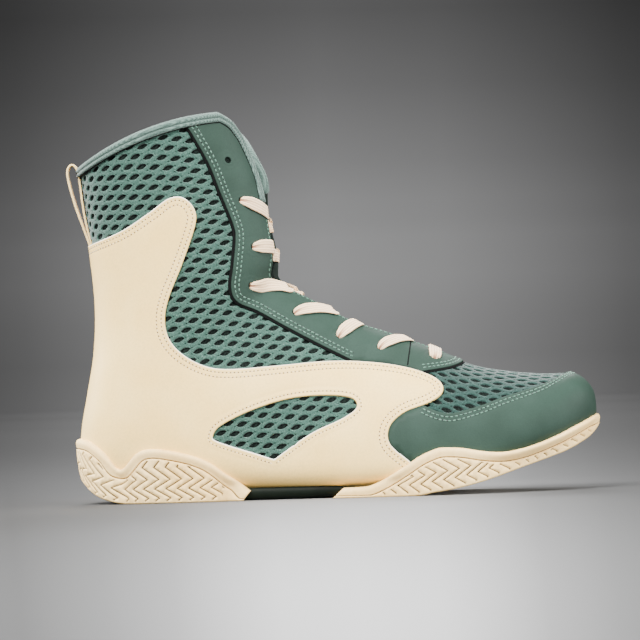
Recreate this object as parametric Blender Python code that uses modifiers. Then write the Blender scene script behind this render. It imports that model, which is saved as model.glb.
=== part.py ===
"""Boxing shoe for the right foot, high-cut and laced, built as a maker puts it together.

The upper, its overlays and the sole are all cut from one function, the last: a row of sections that
runs from the toe, along the foot, round the heel and up the shaft to the collar.
Sizes are in millimetres and are turned into metres where meshes are made.
+X points to the toe, +Y to the inner side of the foot and +Z up. The floor is Z = 0.
"""

import math

import bmesh
import bpy
from mathutils import Vector

# Driving dimensions, in millimetres
SHOE_LENGTH = 285.0       # sole, from the back of the heel to the toe
BALL_WIDTH = 97.0         # sole, across the ball of the foot
SHAFT_HEIGHT = 213.5      # floor to the top of the collar
WALL = 2.0                # thickness of the knitted upper
GAP = 0.3                 # clearance between pieces that meet
OVERLAY = 1.2             # thickness of the sewn-on panels
RIM = 2.2                 # thickness of the sole's wall where it climbs the upper
FEATHER_LIFT = 2.4        # height of the upper's lower edge above the last's bottom
THROAT_HALF_GAP = 11.0    # half the opening between the two rows of eyelets
EYELET_RADIUS = 1.7
TONGUE_THICKNESS = 3.0
TONGUE_HALF_WIDTH = 21.0
TONGUE_EASE = 2.0         # room between the tongue and the upper's inside
INSOLE_THICKNESS = 3.0
INSOLE_EASE = 2.6         # room between the insole's edge and the wall
LACE_WIDTH = 7.0
LACE_THICKNESS = 1.3
LACE_EASE = 0.5           # height of a lace above the eyestay at its eyelet
LACE_RISE = 1.0           # what it gains over the opening
HOLLOW_CROSSING = 5       # the crossing over the hollow of the ankle, which is drawn down onto the eyestay
HOLLOW_DROP = 0.95
LOOP_WIDTH = 12.0
LOOP_THICKNESS = 0.9

# The table below is drawn for these sizes, and the driving dimensions scale it
DRAWN_LENGTH, DRAWN_WIDTH, DRAWN_HEIGHT = 285.0, 97.0, 213.5
MM = 0.001

# One row for each section of the last, from the toe to the collar. low_x, low_z: the section's lower end,
# under the foot and then up the back of the heel. top_x, top_z: its upper end, along the ridge of the
# foot and then up the front of the shaft. bow: how far the section arches between its ends.
# outer, inner: half-widths. middle: sideways place of the ridge. widest: share of the section's height
# where it is widest. top_power, low_power: how full it is above and below that, 2 being an ellipse.
COLUMNS = ("low_x", "low_z", "top_x", "top_z", "bow", "outer", "inner", "middle",
           "widest", "top_power", "low_power")
SECTIONS = (
    (140.3, 42.0, 140.3, 42.0, 0.0, 0.0, 0.0, 5.0, 0.40, 2.4, 3.0),
    (137.3, 36.2, 138.6, 54.4, 0.0, 13.5, 12.5, 5.0, 0.40, 2.4, 3.0),
    (128.5, 30.3, 129.8, 62.6, 0.0, 26.5, 23.5, 4.6, 0.36, 2.4, 3.2),
    (113.5, 24.0, 114.6, 63.8, 0.0, 37.0, 33.5, 3.6, 0.32, 2.2, 3.5),
    (94.5, 17.0, 95.6, 65.8, 0.0, 42.5, 39.5, 2.4, 0.28, 2.1, 3.8),
    (73.0, 10.8, 75.0, 70.2, 0.0, 44.8, 42.8, 1.2, 0.25, 2.0, 4.0),
    (50.0, 7.4, 53.5, 79.4, 0.0, 44.8, 42.6, 0.4, 0.23, 1.9, 4.0),
    (25.0, 6.2, 30.5, 88.8, 0.0, 42.5, 38.5, 0.0, 0.22, 1.75, 4.0),
    (-3.0, 6.0, 9.0, 97.0, 0.0, 40.0, 35.0, 0.0, 0.22, 1.7, 4.0),
    (-33.0, 6.1, -10.0, 108.2, 0.0, 37.5, 33.0, 0.0, 0.24, 1.7, 3.8),
    (-65.0, 6.3, -24.0, 116.4, 0.0, 35.5, 32.5, 0.0, 0.28, 1.75, 3.4),
    (-96.0, 6.5, -30.6, 121.6, 0.0, 34.0, 32.5, 0.0, 0.33, 1.8, 3.0),
    (-120.0, 7.0, -32.0, 126.0, 0.0, 33.0, 32.0, 0.0, 0.38, 1.85, 2.7),
    (-133.5, 11.8, -30.8, 130.4, 0.0, 32.3, 31.5, 0.0, 0.42, 1.9, 2.5),
    (-137.6, 23.4, -30.0, 135.6, 0.0, 32.0, 31.2, 0.0, 0.45, 1.95, 2.4),
    (-138.0, 40.0, -30.9, 142.5, 0.0, 31.7, 31.0, 0.0, 0.48, 2.0, 2.3),
    (-134.9, 61.0, -33.2, 151.5, 0.6, 31.5, 31.0, 0.0, 0.50, 2.05, 2.25),
    (-130.6, 84.0, -35.8, 162.5, 1.4, 31.5, 31.2, 0.0, 0.50, 2.1, 2.2),
    (-128.4, 112.0, -39.6, 177.0, 3.0, 32.0, 31.7, 0.0, 0.50, 2.15, 2.2),
    (-131.9, 149.0, -44.4, 195.0, 5.2, 33.0, 32.7, 0.0, 0.50, 2.2, 2.2),
    (-136.2, 186.5, -47.5, 214.0, 7.4, 34.0, 33.7, 0.0, 0.50, 2.2, 2.2),
)
HEEL_TURN = 12.0          # the section from which the lower end climbs the back of the heel
COLLAR = 20.0             # the last section
THROAT_START = 5.45       # where the opening for the tongue begins
THROAT_ROUNDING = 0.55    # length of the opening's round front end, in sections
CORNER_START = 18.3       # where the front edge starts to round off towards the collar
CORNER_HALF_GAP = 17.0    # what the opening gains there on each side

# Places along the last where the walls have a row of points, and points up each side
WALL_ROWS = (
    0.0, 0.35, 0.7, 1.1, 1.6, 2.2, 2.9, 3.6, 4.3, 5.0, 5.45, 5.51, 5.65, 6.0, 6.6, 7.3, 8.0, 8.7, 9.4, 10.0,
    10.6, 11.2, 11.7, 12.1, 12.45, 12.8, 13.3, 13.9, 14.5, 15.1, 15.7, 16.4, 17.1, 17.8, 18.4, 19.0, 19.45,
    19.75, 19.92, 20.0,
)
WALL_COLUMNS = 6

# Edges drawn in the side view, as (x, z). Each is a smooth curve through its points.
SADDLE_EDGE = (
    (-141.0, 139.0), (-131.3, 142.9), (-113.7, 149.9), (-99.0, 159.1), (-88.2, 166.5), (-80.2, 166.7),
    (-74.4, 160.3), (-74.3, 151.1), (-82.2, 129.6), (-89.1, 113.8), (-92.1, 101.8), (-90.7, 90.8),
    (-83.8, 81.7), (-71.9, 74.5), (-58.3, 72.0), (-34.2, 72.9), (-3.8, 74.4), (20.3, 72.8),
    (40.3, 68.9), (54.6, 62.9), (58.4, 56.4), (51.7, 50.6), (37.1, 45.4), (28.8, 38.1), (28.5, 28.8),
    (38.7, 19.3), (46.0, 12.5),
)
WINDOW_EDGE = (
    (-34.9, 22.3), (-45.3, 25.9), (-65.2, 32.8), (-67.9, 36.1), (-63.3, 41.6), (-47.0, 49.1),
    (-27.0, 54.7), (-8.4, 56.1), (7.6, 54.4), (11.1, 49.1), (3.2, 43.3), (-14.7, 35.5), (-34.9, 22.3),
)
TOE_CAP_EDGE = (
    (47.7, 48.9), (52.1, 46.6), (58.0, 44.6), (64.5, 44.4), (79.0, 47.8), (91.3, 51.8), (111.6, 57.2),
    (125.3, 62.4), (130.2, 64.0), (140.0, 68.5),
)
EYESTAY_EDGE = (
    (-77.1, 205.5), (-74.3, 201.0), (-65.9, 184.7), (-60.0, 168.3), (-53.8, 151.3), (-52.8, 143.2),
    (-54.5, 128.0), (-56.0, 117.0), (-53.1, 109.0), (-41.3, 103.0), (-27.3, 94.6), (-11.5, 85.6),
    (3.5, 77.5), (8.7, 74.8),
)
EYESTAY_LIP = ((48.2, 67.2), (55.6, 68.0), (63.6, 69.2), (69.3, 71.0), (71.0, 72.6), (73.0, 77.0))
BINDING_EDGE = (
    (-146.0, 179.0), (-135.1, 183.4), (-125.4, 187.4), (-106.6, 196.4), (-94.4, 201.2), (-82.2, 204.9),
    (-74.1, 207.0), (-66.0, 208.3), (-60.6, 208.4), (-57.6, 207.6), (-55.4, 205.4), (-51.0, 198.8),
    (-47.4, 189.0), (-44.1, 178.1), (-41.8, 167.3),
)
HEEL_RIM = (
    (-150.0, 37.4), (-140.0, 36.4), (-133.1, 32.5), (-126.8, 26.1), (-123.9, 22.2), (-120.9, 19.4),
    (-117.8, 20.1), (-112.2, 26.4), (-108.3, 29.0), (-103.2, 30.0), (-96.7, 29.6), (-84.3, 26.9),
    (-69.1, 19.8), (-52.3, 5.9), (-50.0, 4.4),
)
HEEL_BOTTOM = ((-117.5, 0.0), (-124.6, 0.9), (-128.9, 2.7), (-133.2, 5.1), (-138.5, 10.7), (-146.0, 21.0))
FOREFOOT_RIM = (
    (11.0, 4.9), (21.5, 7.7), (26.2, 9.9), (36.4, 16.0), (44.3, 21.8), (52.8, 25.3), (58.4, 26.0),
    (67.9, 25.4), (78.3, 23.5), (88.7, 22.5), (98.4, 23.4), (110.5, 26.3), (122.8, 30.7), (138.3, 38.6),
    (142.8, 42.5), (150.0, 48.5),
)
TOE_SPRING = (
    (38.0, 0.0), (52.0, 2.0), (66.3, 4.3), (81.8, 7.7), (99.5, 13.5), (117.3, 20.0), (135.0, 27.7),
    (141.5, 34.0), (150.0, 44.0),
)
HEEL_FLAT = (-117.5, -54.0)      # where the heel stands, along X
FOREFOOT_FLAT = (12.0, 38.0)     # where the forefoot stands, along X
ARCH_RISE = 1.4                  # height of the arch above the floor

# Eyelets on the outer side, as (x, z), from the toe upwards. The last pair is left unlaced.
EYELETS = (
    (51.8, 76.3), (24.9, 80.8), (2.6, 88.0), (-21.0, 101.6), (-45.0, 117.4), (-43.0, 138.7),
    (-48.9, 164.4), (-55.6, 186.6),
)

# Side view of the pull loop's tape, as (x, z), from its inner end round to its outer end
LOOP_PATH = (
    (-132.4, 145.2), (-134.7, 154.5), (-136.4, 166.0), (-137.5, 175.5), (-138.9, 182.2), (-140.2, 185.9),
    (-142.1, 186.3), (-143.4, 183.0), (-142.6, 176.0), (-139.9, 165.0), (-136.7, 154.5), (-133.9, 145.4),
)


def mix_points(before, start, end, after, t):
    """A value on the smooth curve that runs from start to end as t goes from 0 to 1."""
    return 0.5 * (2 * start + (end - before) * t + (2 * before - 5 * start + 4 * end - after) * t ** 2
                  + (3 * start - before - 3 * end + after) * t ** 3)


def smooth(points, steps=2):
    """The points of a smooth open curve through the given (x, z) points."""
    first = tuple(2 * a - b for a, b in zip(points[0], points[1]))
    last = tuple(2 * a - b for a, b in zip(points[-1], points[-2]))
    padded = [first, *points, last]
    curve = []
    for i in range(1, len(padded) - 2):
        for step in range(steps):
            curve.append(tuple(mix_points(*values, step / steps) for values in zip(*padded[i - 1:i + 3])))
    return [*curve, points[-1]]


def scaled_row(index):
    """A row of the table at the driving dimensions, with one row more at each end for the curve's slope."""
    count = len(SECTIONS)
    if index < 0:
        row = dict(zip(COLUMNS, SECTIONS[-index]))
        row["low_z"], row["top_z"] = row["top_z"], row["low_z"]
        row["outer"], row["inner"] = -row["outer"], -row["inner"]
    elif index >= count:
        row = {name: 2 * a - b for name, a, b in zip(COLUMNS, SECTIONS[-1], SECTIONS[-2])}
    else:
        row = dict(zip(COLUMNS, SECTIONS[index]))
    for name in ("low_x", "top_x"):
        row[name] *= SHOE_LENGTH / DRAWN_LENGTH
    for name in ("low_z", "top_z", "bow"):
        row[name] *= SHAFT_HEIGHT / DRAWN_HEIGHT
    for name in ("outer", "inner", "middle"):
        row[name] *= BALL_WIDTH / DRAWN_WIDTH
    return row


ROWS = {index: scaled_row(index) for index in range(-1, len(SECTIONS) + 1)}


def section(u):
    """The last's section at u, where whole numbers are rows of the table."""
    index = min(int(u), len(SECTIONS) - 2)
    near = [ROWS[index + k] for k in (-1, 0, 1, 2)]
    return {name: mix_points(*(row[name] for row in near), u - index) for name in COLUMNS}


def side_of(cut, side):
    """Half-width of a section: side is -1 for the outer side of the foot and 1 for the inner side."""
    return cut["outer"] if side < 0 else cut["inner"]


def last_point(u, angle, side):
    """A point of the last. The angle runs from -90 degrees at the section's lower end to 90 at its top."""
    cut = section(u)
    power = cut["top_power"] if angle >= 0 else cut["low_power"]
    rise, reach = math.sin(angle), math.cos(angle)
    size = (abs(rise) ** power + abs(reach) ** power) ** (-1 / power)
    span = 1 - cut["widest"] if angle >= 0 else cut["widest"]
    share = cut["widest"] + rise * size * span
    along_x, along_z = cut["top_x"] - cut["low_x"], cut["top_z"] - cut["low_z"]
    length = math.hypot(along_x, along_z) or 1.0
    arch = 4 * share * (1 - share) * cut["bow"] / length
    return Vector((
        cut["low_x"] + along_x * share - along_z * arch,
        cut["middle"] + side * side_of(cut, side) * max(reach, 0.0) * size,
        cut["low_z"] + along_z * share + along_x * arch,
    ))


def grown_point(u, angle, side, offset):
    """A point at a distance outside the last, or inside it where the offset is negative."""
    step = 0.004
    u_mid = min(max(u, 0.03), COLLAR - step)
    low, high = max(angle - step, -math.pi / 2), min(angle + step, math.pi / 2)
    along = last_point(u_mid + step, angle, side) - last_point(u_mid - step, angle, side)
    around = last_point(u_mid, high, side) - last_point(u_mid, low, side)
    normal = along.cross(around) * side
    if abs(angle) > math.pi / 2 - step:
        normal.y = 0.0
    return last_point(u, angle, side) + normal.normalized() * offset


def angle_at(reach, power):
    """The angle where a section's half-width is that share of its largest."""
    reach = min(max(reach, 0.0), 1.0)
    return math.atan2((1 - reach ** power) ** (1 / power), reach)


def low_angle(u):
    """Where the upper's lower edge, the feather line, lies on a section."""
    cut = section(u)
    bed = cut["low_z"] if u <= HEEL_TURN else section(HEEL_TURN)["low_z"]
    height = max(cut["top_z"] - cut["low_z"], 0.1)
    share = max(0.0, bed + FEATHER_LIFT - cut["low_z"]) / height
    depth = 1 - min(share / cut["widest"], 0.35)
    power = cut["low_power"]
    return -math.atan2(depth, (1 - depth ** power) ** (1 / power))


def throat_gap(u):
    """Half the width of the opening over the tongue."""
    front = min(max((u - THROAT_START) / THROAT_ROUNDING, 0.0), 1.0)
    corner = min(max((u - CORNER_START) / (COLLAR - CORNER_START), 0.0), 1.0)
    gap = THROAT_HALF_GAP * math.sqrt(1 - (1 - front) ** 2)
    return gap + CORNER_HALF_GAP * (1 - math.sqrt(1 - corner ** 2))


def top_angle(u, side):
    """Where the wall ends on a section: at the opening's edge, or at the ridge where it is closed."""
    cut = section(u)
    gap = throat_gap(u)
    return angle_at(gap / side_of(cut, side), cut["top_power"]) if gap > 0 else math.pi / 2


def wall_row(u, offset):
    """The points of both walls at one place along the last: up the outer side, then down the inner side."""
    low = low_angle(u)
    row = []
    for side, order in ((-1, range(WALL_COLUMNS + 1)), (1, range(WALL_COLUMNS, -1, -1))):
        top = top_angle(u, side)
        for k in order:
            row.append(grown_point(u, low + (top - low) * k / WALL_COLUMNS, side, offset))
    return row


def mesh_object(name, mesh_bm, collection):
    """A named object from a bmesh given in millimetres."""
    bmesh.ops.remove_doubles(mesh_bm, verts=mesh_bm.verts, dist=0.001)
    bmesh.ops.dissolve_degenerate(mesh_bm, dist=0.001, edges=mesh_bm.edges)
    bmesh.ops.scale(mesh_bm, vec=(MM, MM, MM), verts=mesh_bm.verts)
    mesh = bpy.data.meshes.new(name)
    mesh_bm.to_mesh(mesh)
    mesh_bm.free()
    obj = bpy.data.objects.new(name, mesh)
    collection.objects.link(obj)
    return obj


def loft(rows, closed=False, skipped=()):
    """A bmesh through rows of points. closed joins each row into a ring and caps the two ends."""
    made = bmesh.new()
    grid = [[made.verts.new(point) for point in row] for row in rows]
    width = len(rows[0])
    columns = [k for k in range(width if closed else width - 1) if k not in skipped]
    for lower, upper in zip(grid, grid[1:]):
        for k in columns:
            after = (k + 1) % width
            made.faces.new((lower[k], upper[after], upper[k]))
            made.faces.new((lower[k], lower[after], upper[after]))
    if closed:
        made.faces.new(grid[0][::-1])
        made.faces.new(grid[-1])
    return made


def wall_surface(name, offset, collection):
    """Both walls of the last as an open surface, with the throat, collar and underside open."""
    rows = [wall_row(u, offset) for u in WALL_ROWS]
    return mesh_object(name, loft(rows, skipped=(WALL_COLUMNS,)), collection)


def add_solidify(obj, thickness, outwards):
    shell = obj.modifiers.new("thickness", "SOLIDIFY")
    shell.thickness = thickness * MM
    shell.offset = 1.0 if outwards else -1.0
    shell.use_quality_normals = True


def add_boolean(obj, cutter, operation):
    cut = obj.modifiers.new(operation.lower() + "_" + cutter.name, "BOOLEAN")
    cut.operation = operation
    cut.object = cutter
    cut.solver = "EXACT"
    cut.use_self = operation == "UNION"


def as_helper(obj):
    obj.hide_render = True
    obj.display_type = "WIRE"
    return obj


def baked(obj, collection):
    """A mesh object with the shape that a curve or a modified object has, in its place."""
    bpy.context.view_layer.update()
    graph = bpy.context.evaluated_depsgraph_get()
    mesh = bpy.data.meshes.new_from_object(obj.evaluated_get(graph))
    welder = bmesh.new()
    welder.from_mesh(mesh)
    bmesh.ops.remove_doubles(welder, verts=welder.verts, dist=1e-6)
    bmesh.ops.recalc_face_normals(welder, faces=welder.faces)
    welder.to_mesh(mesh)
    welder.free()
    name, place = obj.name, obj.matrix_world.copy()
    bpy.data.objects.remove(obj)
    made = bpy.data.objects.new(name, mesh)
    made.matrix_world = place
    collection.objects.link(made)
    return made


def side_prism(name, outlines, collection, half_width=120.0):
    """A cutter: closed side-view outlines, (x, z), pushed through the shoe along Y."""
    curve = bpy.data.curves.new(name, "CURVE")
    curve.dimensions = "2D"
    curve.fill_mode = "BOTH"
    curve.extrude = half_width * MM
    for outline in outlines:
        line = curve.splines.new("POLY")
        line.points.add(len(outline) - 1)
        for point, (x, z) in zip(line.points, outline):
            point.co = (x * MM, z * MM, 0.0, 1.0)
        line.use_cyclic_u = True
    obj = bpy.data.objects.new(name, curve)
    obj.rotation_euler.x = math.pi / 2
    collection.objects.link(obj)
    return as_helper(baked(obj, collection))


def material(name, colour, roughness):
    made = bpy.data.materials.new(name)
    made.use_nodes = True
    shader = made.node_tree.nodes["Principled BSDF"]
    shader.inputs["Base Color"].default_value = (*colour, 1.0)
    shader.inputs["Roughness"].default_value = roughness
    shader.inputs["Metallic"].default_value = 0.0
    return made


def finished(obj, surface):
    obj.data.materials.clear()
    obj.data.materials.append(surface)
    return obj


def feather_line(lift, first, last):
    """Side view of the upper's lower edge, raised by lift, from one section to another."""
    points = []
    steps = 24
    for step in range(steps + 1):
        u = first + (last - first) * step / steps
        edge = last_point(u, low_angle(u), -1)
        points.append((edge.x, edge.z + lift))
    return points


def stretch(points, low_x, high_x):
    """The points of a side-view curve that lie between two places along X."""
    return [point for point in points if low_x <= point[0] <= high_x]


def shifted(points, dx, dz):
    return [(x + dx, z + dz) for x, z in points]


def overlay(name, outlines, surface, parts, cutters):
    """A sewn-on panel: the layer between two offsets of the last, cut to its side-view outline."""
    panel = wall_surface(name, GAP, parts)
    add_solidify(panel, OVERLAY, outwards=True)
    add_boolean(panel, side_prism(name + "_outline", outlines, cutters), "INTERSECT")
    return finished(panel, surface)


def eyelet_cutter(cutters):
    """All the punched eyelet holes, as one cutter that runs through both sides."""
    made = bmesh.new()
    for x, z in EYELETS:
        hole = bmesh.ops.create_cone(made, cap_ends=True, segments=6, radius1=EYELET_RADIUS,
                                     radius2=EYELET_RADIUS, depth=160.0)["verts"]
        for vert in hole:
            vert.co = Vector((vert.co.x + x, -vert.co.z, vert.co.y + z))
    return as_helper(mesh_object("eyelet_holes", made, cutters))


def build_upper(surface, parts, holes):
    upper = wall_surface("upper", 0.0, parts)
    add_solidify(upper, WALL, outwards=False)
    add_boolean(upper, holes, "DIFFERENCE")
    return finished(upper, surface)


def build_overlays(cream, green, teal, parts, cutters, holes):
    """The saddle with its window, the toe cap, the eyestay and the collar's binding."""
    edge = smooth(SADDLE_EDGE)
    under = feather_line(2.2, 0.0, HEEL_TURN)
    rear = stretch(under, -200.0, SADDLE_EDGE[-1][0] - 2.0)
    overlay("saddle", ([*edge, *rear, (-150.0, 17.0), (-160.0, 60.0)], smooth(WINDOW_EDGE)[:-1]),
            cream, parts, cutters)
    lobe_end = next(i for i, point in enumerate(edge) if point == SADDLE_EDGE[21])
    lobe = [point for point in edge[lobe_end:] if point[0] < TOE_CAP_EDGE[0][0] - 0.6]
    front = stretch(under, SADDLE_EDGE[-1][0] + 2.0, 200.0)
    cap = [*smooth(TOE_CAP_EDGE), (170.0, 60.0), (170.0, 43.0), *front, *shifted(lobe, 0.4, -0.3)[::-1]]
    overlay("toe_cap", (cap,), green, parts, cutters)
    bound = smooth(BINDING_EDGE)
    outside = ((-20.0, 167.3), (-20.0, 240.0), (-150.0, 240.0))
    overlay("collar_binding", ([*bound, *outside],), teal, parts, cutters)
    lower_bound = [(x - 0.2, z - 0.4) for x, z in bound if x > EYESTAY_EDGE[0][0] + 1.0]
    along = shifted(stretch(edge[:lobe_end], EYESTAY_EDGE[-1][0] + 1.0, EYESTAY_LIP[0][0] - 1.0), 0.1, 0.45)
    eyestay = [*smooth(EYESTAY_EDGE), *along, *smooth(EYESTAY_LIP), (73.0, 130.0), (-20.0, 166.9),
               *lower_bound[::-1]]
    stay = overlay("eyestay", (eyestay,), green, parts, cutters)
    add_boolean(stay, holes, "DIFFERENCE")


def wall_at_height(u, side, offset, height):
    """The lowest point of a grown wall that isn't below a height."""
    low = low_angle(u)
    for step in range(24):
        point = grown_point(u, low + 0.02 * step, side, offset)
        if point.z >= height:
            break
    point.z = height
    return point


def solid_row(u, offset, skirt):
    """A ring of points round the whole section: the walls grown outwards, and below them a flat bottom.

    With skirt the bottom reaches below the floor, narrowing downwards. Without it, it is the bed that
    the upper stands on.
    """
    row = wall_row(u, offset)
    first, last = row[0], row[-1]
    if not skirt:
        if low_angle(u) > -math.pi / 2 + 0.02:
            bed = last_point(u, low_angle(u), -1).z - GAP
            row[0], row[-1] = wall_at_height(u, -1, offset, bed), wall_at_height(u, 1, offset, bed)
        return row
    middle = section(u)["middle"]
    reach = abs(first.y - middle)
    drop = min(1.0, reach / 14.0)
    lower = []
    for width, depth in ((0.985, 4.5), (0.90, 8.5), (0.74, 16.0)):
        lower.append(Vector((0, width, first.z - depth * drop)))
    left = [Vector((first.x, middle + (first.y - middle) * p.y, p.z)) for p in lower]
    right = [Vector((last.x, middle + (last.y - middle) * p.y, p.z)) for p in lower]
    return [*left[::-1], *row, *right]


def solid_last(name, offset, collection, skirt=False):
    """The last as a closed body up to the ankle, grown by an offset, for cutting the sole."""
    rows = [solid_row(u, offset, skirt) for u in WALL_ROWS if u <= 17.2]
    made = loft(rows, closed=True)
    bmesh.ops.remove_doubles(made, verts=made.verts, dist=0.001)
    bmesh.ops.dissolve_degenerate(made, dist=0.001, edges=made.edges)
    bmesh.ops.recalc_face_normals(made, faces=made.faces)
    return mesh_object(name, made, collection)


def build_sole(rubber, dark, parts, cutters):
    """The heel cup, the forefoot cup and the arch between them."""
    inside = GAP + OVERLAY + GAP + 0.1
    hollow = as_helper(solid_last("sole_hollow", inside, cutters))
    outlines = {
        "outsole_heel": [*smooth(HEEL_RIM), (HEEL_FLAT[1] + 1.5, 1.2), (HEEL_FLAT[1], 0.0), *smooth(HEEL_BOTTOM),
                         (-160.0, 30.0)],
        "outsole_forefoot": [*smooth(FOREFOOT_RIM), *smooth(TOE_SPRING)[::-1], (FOREFOOT_FLAT[0], 0.0),
                             (FOREFOOT_FLAT[0] - 1.6, 1.2)],
    }
    for name, outline in outlines.items():
        cup = solid_last(name, inside + RIM, parts, skirt=True)
        add_boolean(cup, side_prism(name + "_outline", (outline,), cutters), "INTERSECT")
        add_boolean(cup, hollow, "DIFFERENCE")
        finished(cup, rubber)
    arch = [(-53.0, 12.0), (-49.6, 4.8), (-52.1, ARCH_RISE), (-40.0, ARCH_RISE + 1.2), (0.0, ARCH_RISE + 1.2),
            (10.2, ARCH_RISE), (10.6, 12.0)]
    piece = solid_last("arch_sole", 0.6, parts, skirt=True)
    add_boolean(piece, side_prism("arch_outline", (arch,), cutters), "INTERSECT")
    add_boolean(piece, hollow, "DIFFERENCE")
    finished(piece, dark)


def place_of(x, z):
    """The section and the angle of the point of the last's outer side that a side view shows at (x, z)."""

    def height_over(u):
        cut = section(u)
        along = Vector((cut["top_x"] - cut["low_x"], cut["top_z"] - cut["low_z"]))
        reach = Vector((x - cut["low_x"], z - cut["low_z"]))
        share = reach.dot(along) / along.length_squared
        return along.cross(reach) / along.length - 4 * share * (1 - share) * cut["bow"], share, cut

    low, high = 2.0, COLLAR
    for _ in range(50):
        middle = (low + high) / 2
        if height_over(middle)[0] > 0:
            low = middle
        else:
            high = middle
    share, cut = height_over(low)[1:]
    widest = cut["widest"]
    power = cut["top_power"] if share >= widest else cut["low_power"]
    rise = (share - widest) / (1 - widest) if share >= widest else (share - widest) / widest
    rise = min(max(rise, -1.0), 1.0)
    return low, math.atan2(rise, (1 - abs(rise) ** power) ** (1 / power))


def ridge_point(u, reach, offset):
    """A point of the last at a distance to the side of its ridge, negative on the outer side."""
    cut = section(u)
    side = -1 if reach < 0 else 1
    return grown_point(u, angle_at(abs(reach) / side_of(cut, side), cut["top_power"]), side, offset)


def strip(path, width, thickness):
    """A flat closed ribbon through (section, reach, offset) places, lying on the last."""
    places = [ridge_point(*place) for place in path]
    rings = []
    along = places[-1] - places[0]
    normals = [ridge_point(u, reach, offset + 1.0) - point for (u, reach, offset), point in zip(path, places)]
    common = sum(normals, Vector())
    for own, point in zip(normals, places):
        normal = (own + common).normalized()
        across = along.cross(normal).normalized() * width / 2
        top = point + normal * thickness
        rings.append([point - across, point + across, top + across, top - across])
    return loft(rings, closed=True)


def down_ridge(high, low, share):
    """The section that lies a share of the way down the ridge's length from one section to a lower one."""
    steps = 60
    stops = [high + (low - high) * step / steps for step in range(steps + 1)]
    tops = [last_point(u, math.pi / 2, -1) for u in stops]
    lengths = [(b - a).length for a, b in zip(tops, tops[1:])]
    left = share * sum(lengths)
    for u, length in zip(stops, lengths):
        left -= length
        if left <= 0:
            return u
    return low


def build_laces(surface, parts, cutters):
    """The straight bar over the toe end of the throat and the crossings above it."""
    rest = GAP + OVERLAY + LACE_EASE
    places = [place_of(x, z) for x, z in EYELETS]
    reaches = [abs(last_point(u, angle, -1).y - section(u)["middle"]) for u, angle in places]
    u, reach = places[0][0], reaches[0]
    bar = strip([(u, reach * share, rest) for share in (-1.0, -0.6, -0.2, 0.2, 0.6, 1.0)], LACE_WIDTH,
                LACE_THICKNESS)
    bmesh.ops.recalc_face_normals(bar, faces=bar.faces)
    finished(mesh_object("lace_bar", bar, parts), surface)
    for index in range(1, len(EYELETS) - 1):
        below, u, reach = places[index - 1][0], places[index][0], reaches[index]
        pieces = []
        seat = rest - (HOLLOW_DROP if index == HOLLOW_CROSSING else 0.0)
        for hand in (-1, 1):
            lift = rest + LACE_RISE + (0.6 if hand > 0 else 0.0)
            path = [(down_ridge(u, below, share), hand * across, height) for share, across, height in (
                (0.0, reach, seat), (0.16, reach * 0.66, lift), (0.33, reach * 0.33, lift),
                (0.5 + 0.012 * hand, 0.6, lift - 0.3), (0.66, -5.0, lift - 1.5 + 0.07 * hand))]
            ribbon = strip(path, LACE_WIDTH, LACE_THICKNESS)
            bmesh.ops.recalc_face_normals(ribbon, faces=ribbon.faces)
            name = "lace_cross_%d" % index if hand < 0 else "lace_other_%d" % index
            pieces.append(mesh_object(name, ribbon, parts if hand < 0 else cutters))
        add_boolean(pieces[0], as_helper(pieces[1]), "UNION")
        finished(pieces[0], surface)


def build_tongue(surface, parts):
    """The padded tongue, under the opening, from the vamp to the top of the shaft."""
    outer = -(WALL + TONGUE_EASE)
    shares = (-1.0, -0.8, -0.55, -0.28, 0.0, 0.28, 0.55, 0.8, 1.0)
    rows = []
    for u in (5.0, 5.6, 6.3, 7.0, 8.0, 9.0, 10.0, 11.0, 12.0, 13.0, 14.0, 15.0, 16.0, 17.0, 18.0, 18.8, 19.4):
        width = TONGUE_HALF_WIDTH * min(1.0, 0.62 + 0.1 * (u - 5.0))
        rows.append([ridge_point(u, share * width, outer) for share in shares])
    tongue = mesh_object("tongue", loft(rows), parts)
    add_solidify(tongue, TONGUE_THICKNESS, outwards=False)
    return finished(tongue, surface)


def build_insole(surface, parts):
    """The insole, on the bed between the walls."""
    rings = []
    for u in (1.15, 1.3, 1.55, 1.9, 2.4, 3.0, 4.0, 5.0, 6.0, 7.0, 8.0, 9.0, 10.0, 11.0, 11.5, 12.0, 12.1):
        edge = last_point(u, low_angle(u), -1)
        middle = section(u)["middle"]
        left = middle - max(abs(edge.y - middle) - WALL - INSOLE_EASE, 0.5)
        other = last_point(u, low_angle(u), 1)
        right = middle + max(abs(other.y - middle) - WALL - INSOLE_EASE, 0.5)
        top = edge.z + INSOLE_THICKNESS
        rings.append([Vector((edge.x, left, edge.z)), Vector((edge.x, right, edge.z)),
                      Vector((edge.x, right, top)), Vector((edge.x, left, top))])
    made = loft(rings, closed=True)
    bmesh.ops.recalc_face_normals(made, faces=made.faces)
    return finished(mesh_object("insole", made, parts), surface)


def build_pull_loop(surface, parts):
    """The tape loop at the back of the shaft."""
    line = smooth(LOOP_PATH, 2)
    half = LOOP_WIDTH / 2
    rings = []
    for i, (x, z) in enumerate(line):
        ahead, behind = line[min(i + 1, len(line) - 1)], line[max(i - 1, 0)]
        along = Vector((ahead[0] - behind[0], ahead[1] - behind[1])).normalized()
        out = Vector((-along.y, along.x)) * LOOP_THICKNESS / 2
        rings.append([Vector((x - out.x, -half, z - out.y)), Vector((x - out.x, half, z - out.y)),
                      Vector((x + out.x, half, z + out.y)), Vector((x + out.x, -half, z + out.y))])
    made = loft(rings, closed=True)
    bmesh.ops.recalc_face_normals(made, faces=made.faces)
    return finished(mesh_object("pull_loop", made, parts), surface)


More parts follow.
